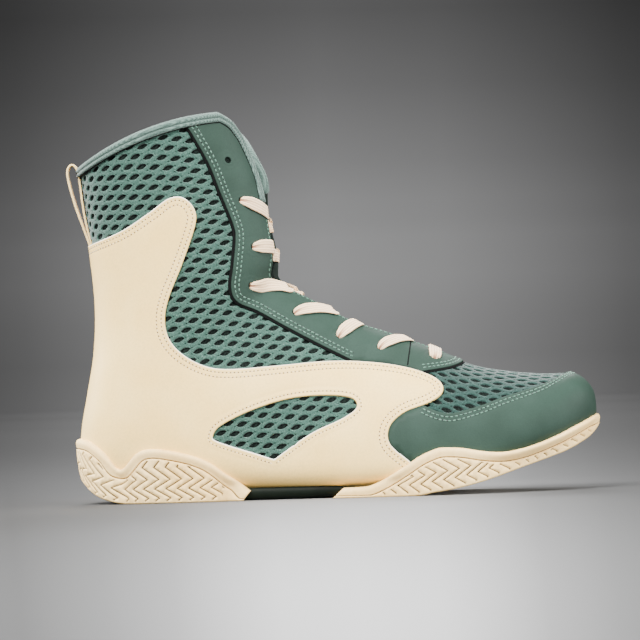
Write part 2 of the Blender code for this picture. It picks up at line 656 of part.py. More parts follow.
def main():
    for obj in list(bpy.data.objects):
        bpy.data.objects.remove(obj)
    parts = bpy.data.collections.new("boxing_shoe")
    cutters = bpy.data.collections.new("cutters")
    bpy.context.scene.collection.children.link(parts)
    bpy.context.scene.collection.children.link(cutters)
    mesh_green = material("mesh_green", (0.16, 0.33, 0.27), 0.8)
    cream = material("cream_synthetic", (0.85, 0.77, 0.58), 0.55)
    sage = material("sage_synthetic", (0.12, 0.19, 0.15), 0.6)
    teal = material("teal_binding", (0.19, 0.29, 0.24), 0.75)
    rubber = material("cream_rubber", (0.80, 0.70, 0.53), 0.6)
    dark = material("dark_arch", (0.013, 0.018, 0.010), 0.6)
    lace = material("lace_cotton", (0.72, 0.62, 0.53), 0.85)
    tape = material("loop_tape", (0.70, 0.58, 0.36), 0.85)
    lining = material("dark_lining", (0.03, 0.05, 0.04), 0.85)
    holes = eyelet_cutter(cutters)
    build_upper(mesh_green, parts, holes)
    build_overlays(cream, sage, teal, parts, cutters, holes)
    build_sole(rubber, dark, parts, cutters)
    build_tongue(mesh_green, parts)
    build_insole(lining, parts)
    build_laces(lace, parts, cutters)
    build_pull_loop(tape, parts)


main()
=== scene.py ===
"""Looks of a high-cut boxing shoe for the right foot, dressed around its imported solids.

Every piece is remade from the same last as the solids: a row of sections that runs from the toe, along
the foot, round the heel and up the shaft. A place on the last is (u, angle): u counts sections, and the
angle runs from -90 degrees at a section's lower end to 90 at its top. A chart lays the last's outer side
out flat in millimetres, so that panels, stitches and the knit's holes keep their sizes.
Sizes are in millimetres and turn into metres where meshes are made. +X is the toe, +Y the inner side.
"""

import math

import bmesh
import bpy
import numpy as np
from mathutils import Matrix, Vector
from mathutils.bvhtree import BVHTree
from mathutils.geometry import delaunay_2d_cdt


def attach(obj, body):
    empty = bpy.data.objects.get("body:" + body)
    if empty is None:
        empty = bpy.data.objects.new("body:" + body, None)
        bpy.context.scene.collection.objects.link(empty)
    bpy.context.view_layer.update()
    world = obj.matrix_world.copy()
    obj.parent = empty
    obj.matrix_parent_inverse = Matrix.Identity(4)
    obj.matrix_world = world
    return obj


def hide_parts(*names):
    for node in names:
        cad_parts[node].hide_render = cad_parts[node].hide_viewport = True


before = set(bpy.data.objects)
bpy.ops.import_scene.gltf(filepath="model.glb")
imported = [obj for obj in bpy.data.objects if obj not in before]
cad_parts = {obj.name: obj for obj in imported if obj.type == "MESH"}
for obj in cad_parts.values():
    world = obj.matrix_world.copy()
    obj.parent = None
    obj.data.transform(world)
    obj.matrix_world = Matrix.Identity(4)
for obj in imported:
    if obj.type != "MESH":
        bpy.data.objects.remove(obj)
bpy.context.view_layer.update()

MM = 0.001
HALF_TURN = math.pi / 2

# Camera: the photograph is level, from far off on the outer side, and rolled
FRAME_WIDTH = 350.7           # what the picture's width spans at the shoe
VIEW_CENTRE = (-7.5, 97.5)    # x and z in the middle of the picture
VIEW_DISTANCE = 3000.0
VIEW_DEPTH = -25.0            # y of the plane that FRAME_WIDTH is measured in
VIEW_ROLL = -1.84             # degrees

# The last, as in the part's source but a little fuller at toe and heel. COLUMNS says what each number is
COLUMNS = ("low_x", "low_z", "top_x", "top_z", "bow", "outer", "inner", "middle",
           "widest", "top_power", "low_power")
SECTIONS = np.array((
    (142.5, 41.4, 142.5, 41.4, 0.0, 0.0, 0.0, 5.0, 0.40, 2.4, 3.0),
    (139.5, 35.9, 140.9, 54.4, 0.0, 13.5, 12.5, 5.0, 0.40, 2.4, 3.0),
    (129.9, 30.3, 131.3, 62.8, 0.0, 26.5, 23.5, 4.6, 0.36, 2.4, 3.2),
    (113.5, 24.0, 114.6, 63.8, 0.0, 37.0, 33.5, 3.6, 0.32, 2.2, 3.5),
    (94.5, 17.0, 95.6, 65.8, 0.0, 42.5, 39.5, 2.4, 0.28, 2.1, 3.8),
    (73.0, 10.8, 75.0, 70.2, 0.0, 44.8, 42.8, 1.2, 0.25, 2.0, 4.0),
    (50.0, 7.4, 53.5, 79.4, 0.0, 44.8, 42.6, 0.4, 0.23, 1.9, 4.0),
    (25.0, 6.2, 30.5, 88.8, 0.0, 42.5, 38.5, 0.0, 0.22, 1.75, 4.0),
    (-3.0, 6.0, 9.0, 97.0, 0.0, 40.0, 35.0, 0.0, 0.22, 1.7, 4.0),
    (-33.0, 6.1, -10.0, 108.2, 0.0, 37.5, 33.0, 0.0, 0.24, 1.7, 3.8),
    (-65.0, 6.3, -24.0, 116.4, 0.0, 35.5, 32.5, 0.0, 0.28, 1.75, 3.4),
    (-96.0, 6.5, -30.6, 121.6, 0.0, 34.0, 32.5, 0.0, 0.33, 1.8, 3.0),
    (-120.0, 7.0, -32.0, 126.0, 0.0, 33.0, 32.0, 0.0, 0.38, 1.85, 2.7),
    (-135.5, 11.8, -30.8, 130.4, 0.0, 32.3, 31.5, 0.0, 0.42, 1.9, 2.5),
    (-139.7, 23.4, -30.0, 135.6, 0.0, 32.0, 31.2, 0.0, 0.45, 1.95, 2.4),
    (-139.5, 40.0, -30.9, 142.5, 0.0, 31.7, 31.0, 0.0, 0.48, 2.0, 2.3),
    (-135.5, 61.0, -33.2, 151.5, 0.6, 31.5, 31.0, 0.0, 0.50, 2.05, 2.25),
    (-131.3, 84.0, -35.8, 162.5, 1.4, 31.5, 31.2, 0.0, 0.50, 2.1, 2.2),
    (-130.0, 112.0, -39.6, 177.0, 3.0, 32.0, 31.7, 0.0, 0.50, 2.15, 2.2),
    (-133.2, 149.0, -44.4, 195.0, 5.2, 33.0, 32.7, 0.0, 0.50, 2.2, 2.2),
    (-137.8, 186.5, -47.5, 214.0, 7.4, 34.0, 33.7, 0.0, 0.50, 2.2, 2.2),
))
HEEL_TURN, COLLAR = 12.0, 19.95
FEATHER_LIFT = 2.4
THROAT_START, THROAT_ROUNDING = 5.45, 0.55
# Distance of the front edges from the ridge, by section, on the outer and the inner side
OUTER_GAPS = (
    (5.0, 4.0), (8.0, 4.0), (9.4, 4.4), (10.4, 6.2), (12.0, 8.6), (13.4, 9.6), (15.0, 9.4), (16.4, 7.8),
    (17.06, 6.8), (17.42, 6.2), (17.9, 5.6), (18.37, 6.8), (18.76, 9.0), (19.19, 12.2), (19.53, 16.3),
    (19.75, 19.8), (20.0, 26.0),
)
INNER_GAPS = (
    (5.0, 4.0), (8.0, 4.0), (10.0, 4.0), (13.0, 5.0), (15.0, 6.5), (16.4, 6.0), (17.0, 3.5), (17.5, 2.0),
    (18.2, 1.6), (18.7, 2.6), (19.1, 8.0), (19.45, 14.8), (19.75, 20.0), (20.0, 26.0),
)
# Where the inner flap stands up, over what span and how far
INNER_LIFTS = ((12.0, 1.5, 2.2), (17.9, 0.75, 3.2))
WALL = 2.0

# Edges drawn in the side view, as (x, z), as in the part's source
SADDLE_EDGE = (
    (-141.0, 139.0), (-131.3, 142.9), (-113.7, 149.9), (-99.0, 159.1), (-88.2, 166.5), (-80.2, 166.7),
    (-74.4, 160.3), (-74.3, 151.1), (-82.2, 129.6), (-89.1, 113.8), (-92.1, 101.8), (-90.7, 90.8),
    (-83.8, 81.7), (-71.9, 74.5), (-58.3, 72.0), (-34.2, 72.9), (-3.8, 74.4), (20.3, 72.8),
    (40.3, 68.9), (54.6, 62.9), (58.4, 56.4), (51.7, 50.6), (37.1, 45.4), (28.8, 38.1), (28.5, 28.8),
    (38.7, 19.3), (46.0, 12.5),
)
WINDOW_EDGE = (
    (-34.9, 22.3), (-45.3, 25.9), (-65.2, 32.8), (-67.9, 36.1), (-63.3, 41.6), (-47.0, 49.1),
    (-27.0, 54.7), (-8.4, 56.1), (7.6, 54.4), (11.1, 49.1), (3.2, 43.3), (-14.7, 35.5), (-34.9, 22.3),
)
TOE_CAP_EDGE = (
    (47.7, 48.9), (52.1, 46.6), (58.0, 44.6), (64.5, 44.4), (79.0, 47.8), (91.3, 51.8), (111.6, 57.2),
    (125.3, 62.4), (130.2, 64.0), (140.0, 68.5),
)
EYESTAY_EDGE = (
    (-79.2, 210.5), (-77.1, 205.5), (-74.3, 201.0), (-65.9, 184.7), (-60.0, 168.3), (-53.8, 151.3),
    (-52.8, 143.2), (-54.5, 128.0), (-56.0, 117.0), (-53.1, 109.0), (-41.3, 103.0), (-27.3, 94.6),
    (-11.5, 85.6), (3.5, 77.5), (8.7, 74.8),
)
EYESTAY_LIP = ((48.2, 67.2), (55.6, 68.0), (63.6, 69.2), (69.3, 71.0), (71.0, 72.6), (73.0, 77.0))
EYESTAY_SEAM = ((42.0, 84.6), (39.5, 70.4))
HEEL_RIM = (
    (-152.0, 36.6), (-140.0, 35.6), (-133.1, 32.0), (-126.8, 26.1), (-123.9, 22.2), (-120.9, 19.4),
    (-117.8, 20.1), (-112.2, 26.4), (-108.3, 29.0), (-103.2, 30.0), (-96.7, 29.6), (-84.3, 27.0),
    (-74.9, 23.8), (-68.7, 20.4), (-62.6, 15.6), (-56.5, 10.3), (-52.2, 6.2), (-47.0, 4.6),
)
HEEL_BOTTOM = (
    (-46.0, 0.0), (-114.0, 0.0), (-119.5, 0.4), (-124.6, 1.4), (-128.9, 2.7), (-133.2, 4.7), (-138.5, 9.0),
    (-148.0, 21.0),
)
FOREFOOT_RIM = (
    (-6.0, 5.5), (5.0, 5.7), (14.0, 5.9), (18.0, 6.8), (22.2, 8.6), (26.8, 11.0), (36.6, 17.0), (44.3, 21.8),
    (52.8, 25.3), (58.4, 26.0), (67.9, 25.4), (78.3, 23.5), (88.7, 22.5), (98.4, 23.4), (110.5, 26.3),
    (122.8, 30.7), (133.0, 35.4), (138.3, 37.9), (142.8, 40.2), (150.0, 43.0),
)
TOE_SPRING = (
    (-8.0, 0.0), (38.0, 0.0), (52.0, 1.7), (66.3, 3.9), (81.8, 7.7), (99.5, 13.3), (117.3, 18.9),
    (128.0, 22.8), (138.0, 28.2), (143.5, 33.0), (151.0, 43.0),
)
EYELETS = (
    (54.6, 74.3), (24.9, 80.8), (2.6, 88.0), (-21.0, 101.6), (-45.0, 117.4), (-43.0, 138.7),
    (-48.9, 164.4), (-55.6, 186.6),
)
EYELET_RADIUS = 1.8
LOOP_PATH = (
    (-131.2, 139.5), (-132.6, 145.2), (-134.7, 154.5), (-136.4, 166.0), (-137.3, 175.5), (-138.2, 182.2),
    (-140.0, 186.4), (-142.4, 187.0), (-144.2, 183.6), (-143.2, 176.0), (-140.4, 165.0), (-137.0, 154.5),
    (-133.9, 145.4), (-132.2, 139.3),
)
LOOP_WIDTH, LOOP_THICKNESS = 12.0, 1.3
SIDES = (-1, 1)               # the outer and the inner side of the foot

NORMAL_STEP = 0.004           # over what step, in sections and in angle, slopes of the last are taken
TOE_TIP, FIRST_U = 0.03, 0.2  # the last's tip has no slope of its own, so sections are looked up from here on
PLACE_HALVINGS, CHART_HALVINGS = 46, 40
BATCH = 2000                  # how many points are compared with a line at a time


# The last

def mix_points(before, start, end, after, t):
    """A value on the smooth curve that runs from start to end as t goes from 0 to 1."""
    return 0.5 * (2 * start + (end - before) * t + (2 * before - 5 * start + 4 * end - after) * t ** 2
                  + (3 * start - before - 3 * end + after) * t ** 3)


def smooth(points, steps=8):
    """The points of a smooth open curve through the given points."""
    points = np.asarray(points, float)
    padded = np.vstack([2 * points[0] - points[1], points, 2 * points[-1] - points[-2]])
    t = np.arange(steps)[:, None] / steps
    spans = [mix_points(*padded[i - 1:i + 3], t) for i in range(1, len(padded) - 2)]
    return np.vstack([*spans, points[-1:]])


def padded_sections():
    """The table with one row more at each end, for the curve's slope."""
    first = SECTIONS[1].copy()
    first[[1, 3]] = first[[3, 1]]
    first[[5, 6]] *= -1
    return np.vstack([first, SECTIONS, 2 * SECTIONS[-1] - SECTIONS[-2]])


PADDED = padded_sections()


def section(u):
    """The columns of the last's section at u."""
    u = np.asarray(u, float)
    index = np.clip(u.astype(int), 0, len(SECTIONS) - 2)
    near = (PADDED[index + k] for k in range(4))
    return dict(zip(COLUMNS, np.moveaxis(mix_points(*near, (u - index)[..., None]), -1, 0)))


def half_width(cut, side):
    return np.where(np.asarray(side) < 0, cut["outer"], cut["inner"])


def last_points(u, angle, side):
    """Points of the last. side is -1 for the outer side of the foot and 1 for the inner side."""
    cut = section(u)
    upper = angle >= 0
    power = np.where(upper, cut["top_power"], cut["low_power"])
    rise, reach = np.sin(angle), np.maximum(np.cos(angle), 0.0)
    size = (np.abs(rise) ** power + reach ** power) ** (-1 / power)
    share = cut["widest"] + rise * size * np.where(upper, 1 - cut["widest"], cut["widest"])
    along_x, along_z = cut["top_x"] - cut["low_x"], cut["top_z"] - cut["low_z"]
    arch = 4 * share * (1 - share) * cut["bow"] / np.maximum(np.hypot(along_x, along_z), 0.001)
    return np.stack(np.broadcast_arrays(
        cut["low_x"] + along_x * share - along_z * arch,
        cut["middle"] + side * half_width(cut, side) * reach * size,
        cut["low_z"] + along_z * share + along_x * arch), -1)


def unit(vectors):
    return vectors / np.maximum(np.linalg.norm(vectors, axis=-1, keepdims=True), 1e-9)


def normals(u, angle, side):
    """Directions out of the last."""
    middle = np.clip(u, TOE_TIP, COLLAR - NORMAL_STEP)
    low, high = np.maximum(angle - NORMAL_STEP, -HALF_TURN), np.minimum(angle + NORMAL_STEP, HALF_TURN)
    along = last_points(middle + NORMAL_STEP, angle, side) - last_points(middle - NORMAL_STEP, angle, side)
    around = last_points(middle, high, side) - last_points(middle, low, side)
    out = np.cross(along, around) * np.asarray(side)[..., None]
    out[..., 1] = np.where(np.abs(angle) > HALF_TURN - NORMAL_STEP, 0.0, out[..., 1])
    return unit(out)


def grown(u, angle, side, offset):
    """Points at a distance outside the last, or inside it where the offset is negative."""
    u, angle, side, offset = np.broadcast_arrays(*(np.asarray(v, float) for v in (u, angle, side, offset)))
    return last_points(u, angle, side) + normals(u, angle, side) * offset[..., None]


def angle_at(reach, power):
    """The angle where a section's half-width is that share of its largest."""
    reach = np.clip(reach, 0.0, 1.0)
    return np.arctan2((1 - reach ** power) ** (1 / power), reach)


def low_angle(u):
    """Where the upper's lower edge, the feather line, lies on a section."""
    cut = section(u)
    bed = np.where(np.asarray(u) <= HEEL_TURN, cut["low_z"], section(HEEL_TURN)["low_z"])
    height = np.maximum(cut["top_z"] - cut["low_z"], 0.1)
    share = np.maximum(0.0, bed + FEATHER_LIFT - cut["low_z"]) / height
    depth = 1 - np.minimum(share / cut["widest"], 0.35)
    return -np.arctan2(depth, (1 - depth ** cut["low_power"]) ** (1 / cut["low_power"]))


def half_gap(u, side):
    """How far the opening's edge lies from the ridge, 0 where the upper is closed."""
    table = smooth(OUTER_GAPS if side < 0 else INNER_GAPS)
    front = np.clip((np.asarray(u, float) - THROAT_START) / THROAT_ROUNDING, 0.0, 1.0)
    return np.interp(u, *table.T) * np.sqrt(1 - (1 - front) ** 2)


def top_angle(u, side):
    """Where the wall ends on a section: at the opening's edge, or at the ridge where it is closed."""
    cut = section(u)
    gap = half_gap(u, side)
    share = gap / np.maximum(half_width(cut, side), 0.01)
    return np.where(gap > 0, angle_at(share, cut["top_power"]), HALF_TURN)


def place_of(points):
    """The places on the outer side that a side view shows at (x, z) points, and which lie in the outline."""
    x, z = np.asarray(points, float).T
    low, high = np.full(len(x), FIRST_U), np.full(len(x), COLLAR)
    for _ in range(PLACE_HALVINGS):
        middle = (low + high) / 2
        cut = section(middle)
        along_x, along_z = cut["top_x"] - cut["low_x"], cut["top_z"] - cut["low_z"]
        length = np.hypot(along_x, along_z)
        reach_x, reach_z = x - cut["low_x"], z - cut["low_z"]
        share = (reach_x * along_x + reach_z * along_z) / length ** 2
        ahead = (along_x * reach_z - along_z * reach_x) / length - 4 * share * (1 - share) * cut["bow"]
        low, high = np.where(ahead > 0, middle, low), np.where(ahead > 0, high, middle)
    widest = cut["widest"]
    power = np.where(share >= widest, cut["top_power"], cut["low_power"])
    rise = np.where(share >= widest, (share - widest) / (1 - widest), (share - widest) / widest)
    inside = np.abs(rise) < 1.0
    rise = np.clip(rise, -1.0, 1.0)
    return np.stack([low, np.arctan2(rise, (1 - np.abs(rise) ** power) ** (1 / power))], -1), inside


def ridge_places(u, reach):
    """Angles at a distance to the side of the ridge, negative on the outer side, with that side."""
    cut = section(u)
    side = np.where(np.asarray(reach) < 0, -1.0, 1.0)
    return angle_at(np.abs(reach) / half_width(cut, side), cut["top_power"]), side


# The chart: the outer side laid flat, each section a straight line of its own length

GRID_U = np.linspace(0.0, COLLAR, 1001)
GRID_ANGLE = np.linspace(-HALF_TURN, HALF_TURN, 361)
TOE_STRETCH = 3.0             # the section from which the toe is laid out along its widest line


def walk(points):
    """Length along a line up to each of its points."""
    return np.concatenate([[0.0], np.cumsum(np.linalg.norm(np.diff(points, axis=0), axis=1))])


def chart_tables():
    """By section: each angle's reach from the widest line, that line, the way up and the ridge's length."""
    points = last_points(GRID_U[:, None], GRID_ANGLE[None, :], -1.0)
    lengths = np.linalg.norm(np.diff(points, axis=1), axis=2)
    reach = np.concatenate([np.zeros((len(GRID_U), 1)), np.cumsum(lengths, axis=1)], axis=1)
    belt_index = len(GRID_ANGLE) // 2
    reach -= reach[:, belt_index:belt_index + 1]
    belt = points[:, belt_index]
    cut = section(np.maximum(GRID_U, FIRST_U))
    along = unit(np.stack([cut["top_x"] - cut["low_x"], cut["top_z"] - cut["low_z"]], -1))
    centre, walked = belt[:, [0, 2]].copy(), walk(belt)
    toe = GRID_U < TOE_STRETCH
    at_stretch = np.interp(TOE_STRETCH, GRID_U, walked)
    centre[toe, 0] = np.interp(TOE_STRETCH, GRID_U, centre[:, 0]) + at_stretch - walked[toe]
    return reach, centre, along, walk(points[:, -1])


REACH, CENTRE, ALONG, RIDGE_WALK = chart_tables()


def reach_rows(u):
    """Each place's own line of the chart: how far every angle of its section lies from the widest line."""
    index = np.clip(u / GRID_U[1], 0, len(GRID_U) - 1.001)
    whole = index.astype(int)
    part = (index - whole)[:, None]
    return REACH[whole] * (1 - part) + REACH[whole + 1] * part


def reach_at(places):
    """How far places lie from the widest line, with their own lines of the chart."""
    u, angle = np.asarray(places, float).T
    rows = reach_rows(u)
    return np.array([np.interp(a, GRID_ANGLE, row) for a, row in zip(angle, rows)]), rows


def along_u(table, u):
    return np.stack([np.interp(u, GRID_U, table[:, k]) for k in range(2)], -1)


def to_chart(places):
    u, angle = np.asarray(places, float).T
    steps = (angle + HALF_TURN) / (GRID_ANGLE[1] - GRID_ANGLE[0])
    whole = np.clip(steps.astype(int), 0, len(GRID_ANGLE) - 2)
    rows = reach_rows(u)
    ids = np.arange(len(u))
    reach = rows[ids, whole] + (rows[ids, whole + 1] - rows[ids, whole]) * (steps - whole)
    return along_u(CENTRE, u) + unit(along_u(ALONG, u)) * reach[:, None]


def from_chart(points):
    """The places of chart points."""
    points = np.asarray(points, float)
    low, high = np.zeros(len(points)), np.full(len(points), COLLAR)
    for _ in range(CHART_HALVINGS):
        middle = (low + high) / 2
        along, arm = along_u(ALONG, middle), points - along_u(CENTRE, middle)
        ahead = along[:, 0] * arm[:, 1] - along[:, 1] * arm[:, 0] > 0
        low, high = np.where(ahead, middle, low), np.where(ahead, high, middle)
    along, arm = unit(along_u(ALONG, low)), points - along_u(CENTRE, low)
    reach = (along * arm).sum(1)
    angles = [np.interp(r, row, GRID_ANGLE) for r, row in zip(reach, reach_rows(low))]
    return np.stack([low, angles], -1)


def picked(stops, length, values):
    """Rows of values, which go with lengths, at other lengths."""
    return np.stack([np.interp(stops, length, column) for column in values.T], -1)


def respaced(points, step, *others):
    """The points of a line at even steps, with other values that go with them."""
    length = walk(points)
    stops = np.linspace(0.0, length[-1], max(int(round(length[-1] / step)), 1) + 1)
    lines = [picked(stops, length, values) for values in (points, *others)]
    return lines if others else lines[0]


def chart_run(places, step=1.0):
    """Places respaced evenly along the chart."""
    return respaced(to_chart(places), step, np.asarray(places, float))[1]


def carried_on(places):
    """Places with one more at their end, on the back or top line."""
    last, before = places[-1], places[-2]
    return np.vstack([places, [last[0] + (last[0] - before[0]), math.copysign(HALF_TURN, last[1])]])


def drawn(points, cross=None):
    """Places of a side-view curve. cross names the end that is carried on to the back or top line."""
    places, inside = place_of(smooth(points))
    kept = places[inside]
    if cross == "start":
        return carried_on(kept[::-1])[::-1]
    return carried_on(kept) if cross == "end" else kept


def line_normals(points, closed=False):
    """Directions to the left of a line in the chart."""
    if closed:
        slope = np.roll(points, -1, 0) - np.roll(points, 1, 0)
    else:
        slope = np.gradient(points, axis=0)
    return unit(np.stack([-slope[:, 1], slope[:, 0]], -1))


def nearest_pieces(points, starts, ends):
    """How far each point lies from the nearest of some straight pieces, and which one that is."""
    gaps, ids = np.zeros(len(points)), np.zeros(len(points), int)
    along = ends - starts
    square = np.maximum((along ** 2).sum(1), 1e-12)
    for low in range(0, len(points), BATCH):
        part = points[low:low + BATCH, None, :] - starts[None]
        share = np.clip((part * along[None]).sum(2) / square[None], 0.0, 1.0)
        gap = ((part - along[None] * share[..., None]) ** 2).sum(2)
        gaps[low:low + BATCH], ids[low:low + BATCH] = np.sqrt(gap.min(1)), gap.argmin(1)
    return gaps, ids


def distances(points, starts, ends):
    return nearest_pieces(points, starts, ends)[0]


def loop_distances(points, loop):
    return distances(points, loop, np.roll(loop, -1, 0))


def is_inside(points, loops):
    """Which points lie inside closed loops, counting loops within loops as holes."""
    inside = np.zeros(len(points), bool)
    for loop in loops:
        a, b = loop, np.roll(loop, -1, 0)
        for low in range(0, len(points), BATCH):
            x, z = points[low:low + BATCH, 0][:, None], points[low:low + BATCH, 1][:, None]
            spans = (a[None, :, 1] > z) != (b[None, :, 1] > z)
            rise = np.where(b[:, 1] == a[:, 1], 1e-12, b[:, 1] - a[:, 1])
            at = a[None, :, 0] + (z - a[None, :, 1]) / rise[None] * (b - a)[None, :, 0]
            inside[low:low + BATCH] ^= (spans & (x < at)).sum(1) % 2 == 1
    return inside


# Materials

def grey(level):
    return (level,) * 3


class Finish:
    """A procedural material, built up node by node in the shoe's own coordinates."""

    def __init__(self, name, roughness, sheen=0.0, specular=0.5):
        self.material = bpy.data.materials.new(name)
        self.material.use_nodes = True
        self.tree = self.material.node_tree
        self.shader = self.tree.nodes["Principled BSDF"]
        self.place = self.add("ShaderNodeTexCoord").outputs["Object"]
        self.shader.inputs["Roughness"].default_value = roughness
        self.shader.inputs["Sheen Weight"].default_value = sheen
        self.shader.inputs["Specular IOR Level"].default_value = specular
        self.normal = None

    def add(self, kind, links=(), **settings):
        """A node with settings, and with the inputs that links names joined to sockets or set to values."""
        made = self.tree.nodes.new(kind)
        for name, value in settings.items():
            setattr(made, name, value)
        for name, value in dict(links).items():
            if isinstance(value, bpy.types.NodeSocket):
                self.tree.links.new(value, made.inputs[name])
            else:
                made.inputs[name].default_value = value
        return made

    def noise(self, scale, detail=2.0, place=None):
        links = {"Vector": place or self.place, "Scale": scale, "Detail": detail}
        return self.add("ShaderNodeTexNoise", links).outputs["Fac"]

    def stretched(self, scale, turn):
        """The shoe's coordinates turned and scaled, for grain with a direction."""
        links = {"Vector": self.place, "Scale": scale, "Rotation": turn}
        return self.add("ShaderNodeMapping", links).outputs["Vector"]

    def ramp(self, value, *stops):
        """Colours, as (position, colour), picked by a value."""
        made = self.add("ShaderNodeValToRGB", {"Fac": value})
        elements = made.color_ramp.elements
        for element, (position, colour) in ((elements[0], stops[0]), (elements[1], stops[-1])):
            element.position = position
            element.color = (*colour, 1.0)
        for position, colour in stops[1:-1]:
            elements.new(position).color = (*colour, 1.0)
        return made.outputs["Color"]

    def scaled(self, value, low, high):
        """A value as a share, 0 to 1, of the way from low to high."""
        links = {"Value": value, "From Min": low, "From Max": high}
        return self.add("ShaderNodeMapRange", links).outputs["Result"]

    def greys(self, value, low, high, stops):
        """Greys, as (share, grey), picked by a value's share of the way from low to high."""
        return self.ramp(self.scaled(value, low, high), *((share, grey(level)) for share, level in stops))

    def mixed(self, factor, first, second, how="MIX"):
        """Two colours blended. The node's colour inputs are its seventh and eighth."""
        first, second = (colour if isinstance(colour, bpy.types.NodeSocket) else (*colour, 1.0)
                         for colour in (first, second))
        links = {0: factor, 6: first, 7: second}
        return self.add("ShaderNodeMix", links, data_type="RGBA", blend_type=how).outputs[2]

    def darkened(self, colour, value, low, high):
        """A colour times a shade, where low and high are (position, shade) by a value."""
        return self.mixed(1.0, colour, self.ramp(value, low, high), "MULTIPLY")

    def math(self, how, *values):
        return self.add("ShaderNodeMath", enumerate(values), operation=how).outputs[0]

    def tone(self):
        """The value that the mesh carries at its points."""
        return self.add("ShaderNodeAttribute", attribute_name="tone").outputs["Fac"]

    def bump(self, height, distance, strength):
        links = {"Height": height, "Distance": distance * MM, "Strength": strength}
        if self.normal:
            links["Normal"] = self.normal
        self.normal = self.add("ShaderNodeBump", links).outputs["Normal"]

    def done(self, colour, roughness=None):
        for name, value in (("Base Color", colour), ("Roughness", roughness), ("Normal", self.normal)):
            if value:
                self.tree.links.new(value, self.shader.inputs[name])
        return self.material


def tint(red, green, blue):
    """A screen colour, 0 to 255, as the shader takes it."""
    return tuple((c / 255 / 12.92 if c <= 10 else ((c / 255 + 0.055) / 1.055) ** 2.4)
                 for c in (red, green, blue))


def grained(name, dark, light, roughness, grain, depth, edge=None, specular=0.4):
    """A smooth synthetic with a fine grain. edge is the colour where the tone is 1: a painted highlight on
    the cream's cut edges that face up, a darker line along the sage's cut edges and painted shade in the
    rubber's grooves.
    """
    made = Finish(name, roughness, specular=specular)
    colour = made.ramp(made.noise(38.0, 3.0), (0.35, dark), (0.65, light))
    fine = made.noise(grain, 4.0)
    colour = made.darkened(colour, made.noise(grain * 0.6), (0.3, grey(0.92)), (0.6, grey(1.0)))
    # Where the tone is 1: a painted highlight on the cream's edges, a darker line on the sage's, painted
    # shade in the rubber's grooves
    if edge:
        colour = made.mixed(made.tone(), colour, edge)
    cells = made.add("ShaderNodeTexVoronoi", {"Vector": made.place, "Scale": grain * 0.7}).outputs["Distance"]
    made.bump(cells, depth, 0.5)
    made.bump(fine, depth, 0.6)
    return made.done(colour, made.math("MULTIPLY_ADD", fine, 0.22, roughness - 0.11))


def knitted(name, hollow_shade, low, high, fleck):
    """The knit's yarn, with painted shade down in the holes, a painted highlight on the rims, and flecks of
    pale thread.
    """
    made = Finish(name, 0.82, sheen=0.2, specular=0.12)
    yarn = made.noise(1.0, place=made.stretched((900.0, 900.0, 2600.0), (0.0, 0.5, 0.0)))
    cross = made.noise(2100.0)
    colour = made.ramp(made.tone(), (0.0, hollow_shade), (0.34, low), (0.8, high))
    colour = made.mixed(made.ramp(cross, (0.52, grey(0.0)), (0.72, grey(0.6))), colour, fleck)
    colour = made.darkened(colour, yarn, (0.32, (0.62, 0.64, 0.63)), (0.6, grey(1.0)))
    made.bump(yarn, 0.25, 0.8)
    made.bump(cross, 0.2, 0.6)
    return made.done(colour)


def woven(name, dark, light, pitch, turn=(0.0, 0.0, 0.0), sheen=0.2):
    """A plain weave of a pitch in millimetres."""
    made = Finish(name, 0.85, sheen=sheen, specular=0.1 + 0.5 * sheen)
    links = {"Vector": made.stretched((1.0, 1.0, 1.0), turn), "Scale": 2 * math.pi / (pitch * MM) / 20,
             "Distortion": 0.6, "Detail": 1.0, "Detail Scale": 2.0}
    waves = [made.add("ShaderNodeTexWave", links, bands_direction=axis).outputs["Fac"] for axis in "XYZ"]
    crossed = made.math("MULTIPLY", waves[0], waves[2])
    height = made.math("MAXIMUM", crossed, made.math("MULTIPLY", waves[1], 0.6))
    fuzz = made.noise(1800.0)
    colour = made.ramp(height, (0.05, dark), (0.6, light))
    colour = made.darkened(colour, fuzz, (0.3, grey(0.85)), (0.6, grey(1.0)))
    made.bump(height, 0.2, 0.7)
    made.bump(fuzz, 0.12, 0.5)
    return made.done(colour)


def laced(name, dark, light, groove):
    """Flat woven cotton, with painted shade along the valleys between its ribs and in its folds, where the
    tone is 1.
    """
    made = Finish(name, 0.85, sheen=0.3, specular=0.2)
    thread = made.noise(1.0, place=made.stretched((2400.0, 2400.0, 1100.0), (0.3, 0.5, 0.2)))
    colour = made.mixed(made.tone(), made.ramp(thread, (0.35, dark), (0.65, light)), groove)
    made.bump(thread, 0.14, 0.7)
    return made.done(colour)


# Edge colours: a painted highlight on the cream's cut edges that face up, a darker line along the sage's cut
# edges, painted shade in the rubber's grooves
CREAM_FINISH = grained("cream_synthetic_finish", tint(242, 203, 117), tint(246, 210, 129), 0.55, 1500.0, 0.05,
                       edge=tint(255, 250, 240), specular=0.35)
SAGE_FINISH = grained("sage_synthetic_finish", tint(35, 51, 43), tint(41, 58, 50), 0.6, 1700.0, 0.05,
                      edge=tint(20, 30, 25), specular=0.1)
RUBBER_FINISH = grained("cream_rubber_finish", tint(240, 200, 128), tint(244, 209, 142), 0.62, 900.0, 0.04,
                        edge=tint(66, 48, 24), specular=0.3)
ARCH_FINISH = grained("dark_arch_finish", tint(9, 15, 9), tint(15, 22, 14), 0.6, 1100.0, 0.06, specular=0.1)
# The knit's near-black colour is painted shade down in its holes, its lightest a painted highlight on the
# rims
KNIT_FINISH = knitted("knit_finish", tint(1, 3, 3), tint(22, 43, 36), tint(48, 78, 68), tint(110, 140, 127))
